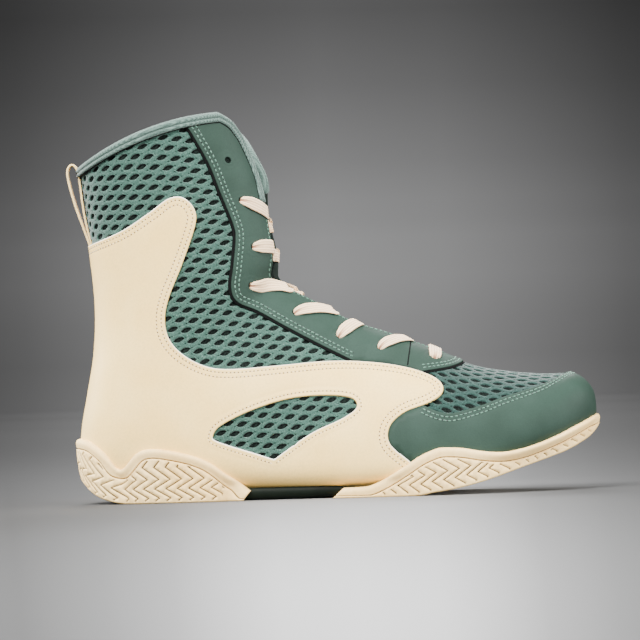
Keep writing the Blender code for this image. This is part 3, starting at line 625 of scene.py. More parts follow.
# The vamp's knit is the knit in darker colours: a shaded copy, painted shade over the vamp
VAMP_SHADED_FINISH = knitted("vamp_knit_shaded_finish", tint(1, 3, 3), tint(11, 27, 23), tint(26, 52, 46), tint(66, 99, 91))
BACKING_FINISH = woven("backing_finish", tint(2, 3, 3), tint(18, 27, 23), 1.1, (0.75, 0.6, 0.7), sheen=0.0)
LINING_FINISH = woven("lining_finish", tint(3, 5, 5), tint(18, 25, 23), 0.9, sheen=0.0)
TONGUE_FINISH = woven("tongue_finish", tint(10, 16, 14), tint(30, 42, 37), 1.4)
BINDING_FINISH = woven("binding_finish", tint(40, 60, 54), tint(92, 114, 105), 0.8)
# The lace's groove colour is painted shade, in the valleys between its ribs and in its folds
LACE_FINISH = laced("lace_finish", tint(241, 206, 158), tint(247, 221, 180), tint(140, 96, 70))
TAPE_FINISH = woven("tape_finish", tint(186, 150, 84), tint(232, 200, 132), 0.8)
# Near black, for the raw edges and for the painted shadow below the binding
RAW_EDGE_AND_SHADOW_FINISH = woven("raw_edge_and_shadow_finish", tint(3, 4, 4), tint(11, 12, 11), 0.6, sheen=0.0)
GREEN_THREAD = woven("green_thread_finish", tint(50, 84, 69), tint(88, 126, 107), 0.5)
# Dark blobs in the green needle holes: painted shade
DIP_SHADE_FINISH = woven("green_needle_shade_finish", tint(8, 18, 14), tint(18, 32, 26), 0.5)
CREAM_THREAD = woven("cream_thread_finish", tint(226, 196, 148), tint(244, 224, 186), 0.5)
# Dark blobs in the cream needle holes: painted shade
HOLE_SHADE_FINISH = woven("needle_hole_shade_finish", tint(60, 36, 22), tint(90, 60, 40), 0.5)


# Pieces

def piece(name, shape, finish, slot, *nodes, weld=0.0):
    """A named mesh piece, from (points in millimetres, faces, tones), that stands for CAD nodes."""
    points, faces, tones = shape
    mesh = bpy.data.meshes.new(name)
    mesh.from_pydata((np.asarray(points) * MM).tolist(), [], [tuple(int(i) for i in face) for face in faces])
    if np.any(tones):
        values = mesh.attributes.new("tone", "FLOAT", "POINT")
        values.data.foreach_set("value", np.asarray(tones, np.float32))
    if weld:
        welder = bmesh.new()
        welder.from_mesh(mesh)
        bmesh.ops.remove_doubles(welder, verts=welder.verts, dist=weld * MM)
        bmesh.ops.dissolve_degenerate(welder, dist=weld * MM * 0.2, edges=welder.edges)
        welder.to_mesh(mesh)
        welder.free()
    mesh.polygons.foreach_set("use_smooth", [True] * len(mesh.polygons))
    mesh.update()
    obj = bpy.data.objects.new(name, mesh)
    obj.data.materials.append(finish)
    bpy.context.scene.collection.objects.link(obj)
    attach(obj, "root")
    if nodes:
        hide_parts(*nodes)
    return obj


def joined(parts):
    """Points, faces and tones of several meshes as one."""
    points, faces, tones, count = [], [], [], 0
    for part_points, part_faces, part_tones in parts:
        points.append(part_points)
        tones.append(part_tones)
        faces.extend([tuple(int(i) + count for i in face) for face in part_faces])
        count += len(part_points)
    return np.vstack(points), faces, np.concatenate(tones)


def grid_faces(rows, columns, wrap=False, flip=False):
    """Quads of a grid of points. wrap joins the last column to the first."""
    faces = []
    for r in range(rows - 1):
        for c in range(columns if wrap else columns - 1):
            d = (c + 1) % columns
            face = (r * columns + c, r * columns + d, (r + 1) * columns + d, (r + 1) * columns + c)
            faces.append(face[::-1] if flip else face)
    return faces


FIRST, LAST = 0, -1           # the ends of a tube


def tube(grid, flip=False, shut=(FIRST, LAST), flat=False):
    """A tube from rings of points. shut names its closed ends. A flat tube's ends are strips of quads."""
    rows, columns = grid.shape[:2]
    faces = grid_faces(rows, columns, wrap=True, flip=flip)
    cap = [tuple(range(columns))]
    if flat:
        cap = [(k, k + 1, columns - 2 - k, columns - 1 - k) for k in range(columns // 2 - 1)]
    for end in shut:
        start = 0 if end == FIRST else (rows - 1) * columns
        turned = flip if end == LAST else not flip
        faces += [tuple(start + i for i in (face[::-1] if turned else face)) for face in cap]
    return grid.reshape(-1, 3), faces, np.zeros(rows * columns)


def triangulated(points, links):
    """Corners, edges, triangles and the corners' sources of flat points joined up round their links."""
    return delaunay_2d_cdt([Vector(p) for p in points], links, [], 0, 1e-5)


def trimmed(points, faces, loops):
    """The triangles that lie inside closed loops, all turned the same way."""
    faces = faces[is_inside(points[faces].mean(1), loops)]
    first, second, third = (points[faces[:, k]] for k in range(3))
    turned = np.cross(second - first, third - first) < 0
    faces[turned] = faces[turned][:, ::-1]
    return faces


# Panels

# Kinds of outline: a cut edge, a join to the panel's other half, or a line where it meets a neighbour
EDGE, SEAM, BUTT = 1, 0, 2
PANEL_SPACING = 3.2           # of the net of points inside a panel
PANEL_BASE, EDGE_RADIUS = 0.1, 0.5
# Rows of points along the edges, by distance; the eyestay has one more
PANEL_RINGS = (0.12, 0.3, 0.55, 1.1, 1.7, 2.2, 2.8, 3.9, 4.5, 5.2)
EYESTAY_RINGS = (*PANEL_RINGS[:4], 1.4, *PANEL_RINGS[4:])
RING_FIT = (0.96, 1.05)       # how much nearer or further a row's points may lie where the edge bends
NET_GAP, LEAST_GAP = 0.45 * PANEL_SPACING, 0.05
LOOK_ASIDE = 0.05             # how far to step off an edge to see which side of it is the panel
SEAM_DENT, EYESTAY_DENT, DENT_WIDTH = 0.14, 0.1, 0.55   # along the stitches
SADDLE_TOP, GREEN_TOP = 1.7, 1.25
# The cream's edge tone is a painted highlight, kept to cut edges that face up; the sage's darkens its cut
# edges
CREAM_EDGE_HIGHLIGHT, SAGE_EDGE_TONE = (1.2, 0.5), (1.0, 0.3)   # at the cut edge, and over what width it fades
SADDLE_SEAMS, WINDOW_SEAMS, GREEN_SEAMS, THROAT_SEAM = (2.0, 4.6), (2.3,), (2.2, 4.4), 1.6
SKIRT_FROM, SKIRT_DEPTH = (7.0, 7.9, 10.4, 11.2), 0.45   # where the saddle is drawn in under the arch
FEATHER_SLACK = 0.03          # angle between the panels' lower ends and the feather line
PANEL_WELD = 0.01
# Where the saddle's edge meets the eyestay, the eyestay's lip and the toe cap, and where the vamp's knit ends
EYESTAY_MEETS, LIP_MEETS, CAP_MEETS, VAMP_ENDS = (8.7, 74.3), (48.2, 66.6), (52.5, 51.2), (50.0, 50.0)
COLLAR_EASE = 0.03            # how far below the collar the panels and the knit end, in sections
CAP_START = 0.02              # the section where the toe cap's halves meet
FLAP_FROM, FLAP_SPAN = 0.85, 0.4   # the angles over which the inner flap's lift sets in


class Panel:
    """A sewn-on panel, from closed outlines of (places, kind) runs, made for both sides of the shoe."""

    def __init__(self, loops, top, rings=PANEL_RINGS):
        self.top, self.loops, self.links = top, [], []
        places, kinds = [], []
        for loop in loops:
            first = len(kinds)
            for run, kind in loop:
                run = chart_run(run)
                places.extend(run[:-1])
                kinds.extend([kind] * (len(run) - 1))
            count = len(kinds) - first
            self.links.extend((first + k, first + (k + 1) % count) for k in range(count))
            self.loops.append(to_chart(np.array(places[first:])))
        outline = np.vstack(self.loops)
        self.rim = [link for link in self.links if kinds[link[0]] != SEAM]
        cut = np.array([link for link in self.links if kinds[link[0]] == EDGE])
        self.starts, self.ends = outline[cut[:, 0]], outline[cut[:, 1]]
        every = outline[[a for a, _ in self.links]], outline[[b for _, b in self.links]]
        inner = np.vstack([*self.edge_rows(rings), self.net(outline, every, max(rings))])
        inner = inner[distances(inner, *every) > LEAST_GAP]
        self.flat = np.vstack([outline, inner])
        _, _, faces, sources, *_ = triangulated(self.flat, self.links)
        first_of = [ids[0] if ids else -1 for ids in sources]
        faces = [[first_of[i] for i in face] for face in faces]
        faces = np.array([face for face in faces if min(face) >= 0 and len(set(face)) == 3])
        self.faces = trimmed(self.flat, faces, self.loops)
        self.places = np.vstack([np.array(places), from_chart(inner)])
        self.edge_gap = distances(self.flat, self.starts, self.ends)

    def edge_rows(self, rings):
        """Rows of points along the outlines, kept where they lie inside and at the right distance."""
        rows = []
        for loop in self.loops:
            left = line_normals(loop, closed=True)
            for ring in rings:
                for sign in (-1, 1):
                    moved = loop + left * ring * sign
                    close = distances(moved, self.starts, self.ends)
                    fits = (close > ring * RING_FIT[0]) & (close < ring * RING_FIT[1])
                    rows.append(moved[is_inside(moved, self.loops) & fits])
        return rows

    def net(self, outline, every, last_ring):
        """A net of points inside the outlines, clear of every edge and of the rows along the cut ones."""
        low, high = outline.min(0), outline.max(0)
        rows = []
        for k, z in enumerate(np.arange(low[1], high[1], PANEL_SPACING * 0.87)):
            x = np.arange(low[0] + PANEL_SPACING / 2 * (k % 2), high[0], PANEL_SPACING)
            rows.append(np.stack([x, np.full(len(x), z)], -1))
        net = np.vstack(rows)
        net = net[is_inside(net, self.loops)]
        clear = distances(net, self.starts, self.ends) > last_ring + NET_GAP
        return net[(distances(net, *every) > NET_GAP) & clear]

    def facing_up(self):
        """How far the edge that lies nearest to each point looks upwards, from 0 to 1: where the painted
        highlight on the cut edge shows.
        """
        way = unit(self.ends - self.starts)
        out = np.stack([-way[:, 1], way[:, 0]], -1)
        inwards = is_inside((self.starts + self.ends) / 2 + out * LOOK_ASIDE, self.loops)
        rise = np.where(inwards, -out[:, 1], out[:, 1])
        return np.clip(rise * 1.3, 0.0, 1.0)[nearest_pieces(self.flat, self.starts, self.ends)[1]]

    def heights(self, seams, depth):
        """How far each point stands off the last: rounded at cut edges, with a dent along the seams."""
        near = np.minimum(self.edge_gap, EDGE_RADIUS)
        height = self.top - EDGE_RADIUS + np.sqrt(EDGE_RADIUS ** 2 - (EDGE_RADIUS - near) ** 2)
        for seam in seams:
            height -= depth * np.exp(-((self.edge_gap - seam) / DENT_WIDTH) ** 2)
        return height

    def edge_tone(self, start, width):
        """A tone that fades from a start at the cut edges to 0."""
        return np.clip(start - self.edge_gap / width, 0.0, 1.0)

    def mesh(self, side, height, tone):
        """One side of the panel, with a wall down to the upper along the outline."""
        u, angle = self.places.T
        used = sorted({i for link in self.rim for i in link})
        lower = {i: len(u) + k for k, i in enumerate(used)}
        starts, ends = (self.flat[[link[k] for link in self.rim]] for k in range(2))
        left = np.array([line_normals(self.flat[[a, b]])[0] for a, b in self.rim])
        inwards = is_inside((starts + ends) / 2 + LOOK_ASIDE * left, self.loops)
        walls = [(a, lower[a], lower[b], b) for a, b in self.rim]
        walls = [wall if inward else wall[::-1] for wall, inward in zip(walls, inwards)]
        points = np.vstack([grown(u, angle, side, height), grown(u[used], angle[used], side, PANEL_BASE)])
        faces = [tuple(face) for face in self.faces] + walls
        if side > 0:
            faces = [face[::-1] for face in faces]
        return points, faces, np.concatenate([tone, tone[used]])


def run_of(u, angle):
    """Places along sections at one angle, or at an angle for each."""
    return np.stack(np.broadcast_arrays(u, angle), -1)


def saddle_runs():
    """The saddle's outline: its edge, then the feather line under the foot, then the back of the heel."""
    edge = drawn(SADDLE_EDGE, cross="start")
    under_u = np.linspace(edge[-1, 0], HEEL_TURN + 0.1, 60)
    skirt = np.interp(under_u, SKIRT_FROM, (0.0, SKIRT_DEPTH, SKIRT_DEPTH, 0.0))
    under = run_of(under_u, np.minimum(low_angle(under_u) + FEATHER_SLACK - skirt, edge[-1, 1] + 0.6))
    under[-1, 1] = -HALF_TURN
    back = run_of(np.linspace(under[-1, 0], edge[0, 0], 60), -HALF_TURN)
    return edge, np.vstack([edge[-1:], under]), back


saddle_edge, saddle_under, saddle_back = saddle_runs()
saddle_view = last_points(saddle_edge[:, 0], saddle_edge[:, 1], -1.0)[:, [0, 2]]
window_edge = drawn(WINDOW_EDGE)
toe_cap_edge = drawn(TOE_CAP_EDGE, cross="end")
eyestay_edge = drawn(EYESTAY_EDGE)
eyestay_lip = drawn(EYESTAY_LIP, cross="end")
eyelet_places = place_of(EYELETS)[0]


def on_saddle(point):
    """The number of the point of the saddle's edge that lies nearest to a point of the side view."""
    return int(np.argmin(((saddle_view - np.array(point)) ** 2).sum(1)))


def build_saddle():
    loops = [[(saddle_edge, EDGE), (saddle_under, BUTT), (saddle_back, SEAM)], [(window_edge, EDGE)]]
    panel = Panel(loops, SADDLE_TOP)
    height = panel.heights(SADDLE_SEAMS, SEAM_DENT)
    # Painted highlight on the cut edges that face up
    tone = panel.edge_tone(*CREAM_EDGE_HIGHLIGHT) * panel.facing_up()
    halves = joined([panel.mesh(side, height, tone) for side in SIDES])
    piece("saddle_panel", halves, CREAM_FINISH, "cream_synthetic", "saddle", weld=PANEL_WELD)


def build_toe_cap():
    lobe = saddle_edge[on_saddle(CAP_MEETS):]
    ridge = run_of(np.linspace(toe_cap_edge[-1, 0], CAP_START, 30), HALF_TURN)
    under_u = np.linspace(CAP_START, lobe[-1, 0], 70)
    under = np.vstack([ridge[-1:], run_of(under_u, low_angle(under_u) + FEATHER_SLACK), lobe[-1:]])
    along = np.vstack([lobe[::-1], toe_cap_edge[:1]])
    panel = Panel([[(toe_cap_edge, EDGE), (ridge, SEAM), (under, BUTT), (along, BUTT)]], GREEN_TOP)
    height = panel.heights(GREEN_SEAMS, SEAM_DENT)
    halves = joined([panel.mesh(side, height, panel.edge_tone(*SAGE_EDGE_TONE)) for side in SIDES])
    piece("toe_cap_panel", halves, SAGE_FINISH, "sage_synthetic", "toe_cap", weld=PANEL_WELD)


def throat_line(side, first, last):
    """Places along the front edge, closer together where it starts."""
    start = first + (last - first) * np.linspace(0.001, 0.06, 30)
    u = np.sort(np.concatenate([np.linspace(first, last, 220), start]))
    return run_of(u, top_angle(u, side))


def inner_lift(u, angle, side):
    """How far the inner flap stands up from the last."""
    lift = sum(height * np.exp(-((u - place) / span) ** 2) for place, span, height in INNER_LIFTS)
    return lift * np.clip((angle - FLAP_FROM) / FLAP_SPAN, 0.0, 1.0) * (side > 0)


def build_eyestay():
    beside_saddle = saddle_edge[on_saddle(EYESTAY_MEETS) + 1:on_saddle(LIP_MEETS)]
    along = np.vstack([eyestay_edge[-1:], beside_saddle, eyestay_lip[:1]])
    ridge = run_of(np.array([eyestay_lip[-1, 0], THROAT_START]), HALF_TURN)
    turn = np.linspace(0.0, 2 * math.pi, 15)
    circle = EYELET_RADIUS * np.stack([np.cos(turn), np.sin(turn)], -1)
    parts = []
    for side in SIDES:
        throat = throat_line(side, THROAT_START, COLLAR - COLLAR_EASE)
        collar = np.linspace(throat[-1], eyestay_edge[0], 30)
        loops = [[(eyestay_edge, EDGE), (along, BUTT), (eyestay_lip, EDGE), (ridge, SEAM), (throat, EDGE),
                  (collar, BUTT)]]
        loops += [[(from_chart(place + circle), EDGE)] for place in to_chart(eyelet_places)]
        panel = Panel(loops, GREEN_TOP, EYESTAY_RINGS)
        height = panel.heights(GREEN_SEAMS, EYESTAY_DENT) + inner_lift(*panel.places.T, side)
        parts.append(panel.mesh(side, height, panel.edge_tone(*SAGE_EDGE_TONE)))
    piece("eyestay_panel", joined(parts), SAGE_FINISH, "sage_synthetic", "eyestay", weld=PANEL_WELD)


# Knit

KNIT_PITCH, KNIT_ROW = 7.4, 5.5
HOLE_LONG, HOLE_SHORT = 3.5, 1.36
HOLE_POWER, DOT_POWER = 1.42, 0.5   # how pointed a hole is, and how much rounder a dot
DOT_TURN, DOT_SHORTER, DOT_NARROWER = 0.5, 0.45, 0.05   # how a dot differs from a hole
RING_POINTS = 18
# Rings of a cell: (share of the way from the hole's edge to the cell's, height, tone), where the tone paints
# shade down in the hole and a highlight on its rim
KNIT_RINGS = ((1.0, 0.12, 0.7), (0.5, 0.2, 0.85), (0.2, 0.12, 1.0), (0.04, -0.2, 0.6), (-0.06, -0.55, 0.12),
              (-0.08, -1.0, 0.0))
SHAFT_ROW_TURN, SHAFT_HOLE_TURN = math.radians(-5.0), math.radians(19.0)
VAMP_ROW_TURN, VAMP_HOLE_TURN = math.radians(24.0), math.radians(2.0)
# Where the rows start, and how far the cells run on under the panels
SHAFT_ORIGIN, SHAFT_MARGIN = (-60.0, 120.0), 4.5
VAMP_ORIGIN, VAMP_MARGIN = (-60.0, -12.0), 3.8
SHAFT_BORDER, VAMP_BORDER = 12, 8   # how far beyond the outlines the rows are laid out
DOTS_REACH = 30.0             # the holes shrink to dots this near to the back
KNIT_WELD = 0.02


def lattice_steps(row_turn):
    """The steps along a row of holes and up to the next row."""
    along = np.array([math.cos(row_turn), math.sin(row_turn)])
    return KNIT_PITCH * along, KNIT_ROW * np.array([-along[1], along[0]])


def knit_cells(centres, row_turn, hole_turn, small):
    """Chart points of the cells round some centres, by ring, each cell the lattice's own six-sided plot.

    small, from 0 to 1, says how far each hole has shrunk from a lens to a round dot.
    """
    across, up = lattice_steps(row_turn)
    near = [across, across / 2 + up, up - across / 2]
    near = np.array(near + [-v for v in near])
    turn = np.linspace(0.0, 2 * math.pi, RING_POINTS, endpoint=False) + row_turn
    ray = np.stack([np.cos(turn), np.sin(turn)], -1)
    square = (near ** 2).sum(1) / 2
    plot = np.min(np.where(ray @ near.T > 1e-6, square / np.maximum(ray @ near.T, 1e-6), 1e9), axis=1)
    small = small[:, None]
    local = turn[None] - hole_turn - DOT_TURN * small
    power = HOLE_POWER + DOT_POWER * small
    long, short = HOLE_LONG * (1 - DOT_SHORTER * small), HOLE_SHORT * (1 - DOT_NARROWER * small)
    lengthwise, crosswise = np.abs(np.cos(local)) / long, np.abs(np.sin(local)) / short
    hole = (lengthwise ** power + crosswise ** power) ** (-1 / power)
    rings = [hole + (plot[None] - hole) * share if share >= 0 else hole * (1 + share)
             for share, _, _ in KNIT_RINGS]
    return np.stack([centres[:, None, :] + ray[None] * ring[..., None] for ring in rings], 1)


def lattice(low, high, row_turn, origin):
    """Centres of the knit's holes over a box of the chart."""
    across, up = lattice_steps(row_turn)
    reach = int(max(high - low) / KNIT_ROW) + 4
    rows, columns = np.meshgrid(np.arange(-reach, reach), np.arange(-reach, reach), indexing="ij")
    shift = (rows % 2) / 2
    centres = np.asarray(origin) + (columns + shift)[..., None] * across + rows[..., None] * up
    centres = centres.reshape(-1, 2)
    return centres[((centres > low) & (centres < high)).all(1)]


def knit_mesh(cells, u, angle, side, flip):
    """The mesh of cells, whose points lie at those places."""
    # The rings' tones paint shade down in the holes and a highlight on the rims
    _, heights, tones = (np.broadcast_to(column[None, :, None], cells.shape[:3]).ravel()
                         for column in np.array(KNIT_RINGS).T)
    points = grown(u, angle, side, heights).reshape(*cells.shape[:3], 3)
    points, faces, _ = joined([tube(cell, flip, shut=()) for cell in points])
    return points, faces, tones


def kept_cells(centres, loop, margin):
    return centres[is_inside(centres, [loop]) | (loop_distances(centres, loop) < margin)]


def shaft_loop():
    """Chart outline of the knit that shows between the saddle, the eyestay and the collar."""
    back = run_of(np.linspace(saddle_edge[0, 0], COLLAR - COLLAR_EASE, 30), -HALF_TURN)
    collar = run_of(COLLAR - COLLAR_EASE, np.linspace(-HALF_TURN, eyestay_edge[0, 1], 40))
    return to_chart(np.vstack([saddle_edge[:on_saddle(EYESTAY_MEETS)][::-1], back, collar, eyestay_edge]))


def vamp_chart(places):
    """Places as (length along the ridge towards the toe, reach down from the ridge as a negative number)."""
    reach, rows = reach_at(places)
    return np.stack([-np.interp(places[:, 0], GRID_U, RIDGE_WALK), reach - rows[:, -1]], -1)


def vamp_lift(points):
    """(u, angle, side) of points of the vamp's own flat layout, which runs on over the ridge."""
    u = np.interp(-points[:, 0], RIDGE_WALK, GRID_U)
    down = np.abs(points[:, 1])
    angle = np.array([np.interp(row[-1] - d, row, GRID_ANGLE) for d, row in zip(down, reach_rows(u))])
    return u, angle, np.where(points[:, 1] < 0, -1.0, 1.0)


def build_knit():
    loops = [shaft_loop(), to_chart(window_edge)]
    every = np.vstack(loops)
    centres = lattice(every.min(0) - SHAFT_BORDER, every.max(0) + SHAFT_BORDER, SHAFT_ROW_TURN, SHAFT_ORIGIN)
    centres = np.unique(np.vstack([kept_cells(centres, loop, SHAFT_MARGIN) for loop in loops]), axis=0)
    reach, rows = reach_at(from_chart(centres))
    small = np.clip(1 - (reach - rows[:, 0]) / DOTS_REACH, 0.0, 1.0)
    cells = knit_cells(centres, SHAFT_ROW_TURN, SHAFT_HOLE_TURN, small)
    u, angle = from_chart(cells.reshape(-1, 2)).T
    halves = joined([knit_mesh(cells, u, angle, side, side > 0) for side in SIDES])
    piece("knit_mesh", halves, KNIT_FINISH, "mesh_green", "upper", weld=KNIT_WELD)
    lobe = saddle_edge[on_saddle(LIP_MEETS):on_saddle(VAMP_ENDS)]
    edge = vamp_chart(np.vstack([eyestay_lip[::-1], lobe, toe_cap_edge]))
    loop = np.vstack([edge, (edge * np.array([1.0, -1.0]))[::-1]])
    centres = lattice(loop.min(0) - VAMP_BORDER, loop.max(0) + VAMP_BORDER, VAMP_ROW_TURN, VAMP_ORIGIN)
    centres = kept_cells(centres, loop, VAMP_MARGIN)
    cells = knit_cells(centres, VAMP_ROW_TURN, VAMP_HOLE_TURN, np.zeros(len(centres)))
    whole = knit_mesh(cells, *vamp_lift(cells.reshape(-1, 2)), False)
    # The vamp's knit takes the darker, shaded copy of the knit's finish: painted shade
    piece("vamp_knit", whole, VAMP_SHADED_FINISH, "mesh_green", weld=KNIT_WELD)


# Rows of the lining, as (first section, last section, count), and its depth behind the knit and the panels
LINING_ROWS = ((0.05, THROAT_START, 50), (THROAT_START, 6.2, 16), (6.2, 19.0, 110), (19.0, COLLAR - 0.02, 24))
BEHIND_KNIT, BEHIND_PANEL = -1.0, 0.05
VAMP_REACH = 1.2              # the vamp's open mesh runs this far past the throat's start, in sections


def build_lining():
    """The dark woven shell behind the knit, which also lines the shoe."""
    us = np.unique(np.concatenate([np.linspace(*row) for row in LINING_ROWS]))
    shares = np.linspace(0.0, 1.0, 33)
    shaft, window = shaft_loop(), to_chart(window_edge)
    parts = []
    for side in SIDES:
        low, top = low_angle(us), top_angle(us, side)
        angle = low[:, None] + (top - low)[:, None] * shares[None]
        u = np.repeat(us[:, None], len(shares), 1)
        flat = to_chart(run_of(u.ravel(), angle.ravel()))
        open_knit = is_inside(flat, [shaft]) | is_inside(flat, [window])
        open_knit |= u.ravel() < THROAT_START + VAMP_REACH
        outer = np.where(open_knit, BEHIND_KNIT, BEHIND_PANEL).reshape(u.shape)
        sheet = np.concatenate([grown(u, angle, side, -WALL), grown(u, angle, side, outer)[:, ::-1]], axis=1)
        parts.append(tube(sheet, flip=side < 0, shut=(LAST,), flat=True))
    piece("lining_shell", joined(parts), BACKING_FINISH, "dark_lining", weld=0.005)


# Sole

HEEL_CENTRE = -98.0           # the heel's sides are straight up to here, and round behind it
TOE_CENTRE = 96.0
HEEL_MIDDLE, TOE_MIDDLE = 0.0, 2.0
HEEL_END, FOREFOOT_END = -50.5, -0.5
HEEL_END_LEAN, FOREFOOT_END_LEAN = 0.8, 1.1
SOLE_OUT = 4.1                # how far the sole's side stands off the last
TOE_DRAWN_IN = ((0.8, 1.3), (2.4, 0.0))   # by how much less round the toe, by section
TREE_ROWS = ((0.03, 1.0, 26), (1.05, 12.0, 150), (12.03, 16.2, 70))   # first section, last section, count
TREE_TOP, TREE_COUNT = 0.6, 26   # the angle that the sole's outside goes up to, and in how many steps
SKIRT_DROP, SKIRT_STEPS, SKIRT_TAPER, SKIRT_POWER = 16.0, 15, 0.26, 1.8   # how it goes on below the foot
SKIRT_FULL = 14.0             # half-width from which the skirt drops in full
FAR_OFF = 200.0               # where rays start
SIDE_STEP = 1.3               # along the side
WALL_LEAN, LEAN_POWER = 0.02, 1.6   # how fast the sole's side draws in below the rim
FIRM_BELOW_RIM, FIRM_LEAST = 5.0, 9.0   # the side's reach is held from here down
# Rows of points below the rim, as (distance down, push outwards), with a groove, and over the lower edge
BAND_ROWS = ((-0.3, -3.4), (0.0, -2.2), (0.12, -1.35), (0.45, -0.6), (1.0, -0.05), (1.7, 0.25), (2.6, 0.32),
             (3.6, 0.15), (4.4, 0.0), (4.75, 0.0), (4.95, -0.45), (5.1, -0.95), (5.3, -0.95), (5.45, -0.45),
             (5.65, 0.0))
# The groove's dark rows are painted shade
GROOVE_FROM, GROOVE_DEEP = 4.0, -0.5   # rows below the first and deeper than the second are dark
EDGE_ROWS = ((1.0, 0.0), (0.5, -0.12), (0.18, -0.45), (0.0, -1.0))
BAND_LEAST = 1.5              # the band's height where it is squeezed
SIDE_LEAST, BLOCK_LEAST = 0.5, 4   # the least height, and number of columns, of a side that has ribs
# Corners of a groove, as (height over the lower edge, shift along the side)
HEEL_KINKS = ((-3.0, 5.0), (2.9, -4.4), (8.0, 4.4), (13.2, -4.4), (19.8, 4.4), (30.0, -4.0))
FOREFOOT_KINKS = ((-1.5, 5.4), (6.1, -4.3), (10.6, 4.3), (17.0, -4.3), (26.0, 4.0))
RIB_PITCH, RIB_HALF, RIB_FLOOR, RIB_DEPTH = 6.3, 0.75, 0.2, 1.0
RIB_MARGIN, NET_MARGIN = 0.5, 0.75   # how far grooves keep off the outline, and other points off both
RIB_RUN_ON = 8.0              # how far beyond the ends the rows of grooves start
HEEL_RIBS_END, HEEL_RIBS_SLOPE, HEEL_RIBS_HEIGHT = -59.0, 1.6, 7.0   # the point that they close to, and how
FOREFOOT_RIBS_START = 21.0
LEAN_REACH, LEAN_TOP, LEAN_PIVOT = 12.0, 7.0, 2.8   # of the cups' slanted ends
# The last is how much painted shade lies on the floors of the underside's grooves
UNDER_PITCH, UNDER_KINK, UNDER_STEP, UNDER_SHADE = RIB_PITCH + 0.6, 4.0, 6.5, 0.6


def sole_tree():
    """The outside of the sole before it is trimmed: the last grown outwards, drawn in below the foot."""
    depths = np.linspace(0.0, SKIRT_DROP, SKIRT_STEPS)[1:]
    taper = 1 - SKIRT_TAPER * (depths / SKIRT_DROP) ** SKIRT_POWER
    rings = []
    for u in np.concatenate([np.linspace(*row) for row in TREE_ROWS]):
        angle = np.linspace(float(low_angle(u)), TREE_TOP, TREE_COUNT)
        middle = float(section(u)["middle"])
        halves = []
        for side in SIDES:
            wall = grown(u, angle, side, SOLE_OUT - np.interp(u, *zip(*TOE_DRAWN_IN)))
            reach = wall[0, 1] - middle
            drop = min(1.0, abs(reach) / SKIRT_FULL)
            skirt = np.stack(np.broadcast_arrays(
                wall[0, 0], middle + reach * taper, wall[0, 2] - depths * drop), -1)
            halves.append(np.vstack([skirt[::-1], wall]))
        rings.append(np.vstack([halves[0], halves[1][::-1]]))
    rings = np.array(rings)
    points, faces, _ = tube(rings, shut=())
    return BVHTree.FromPolygons([Vector(p) for p in points], faces)


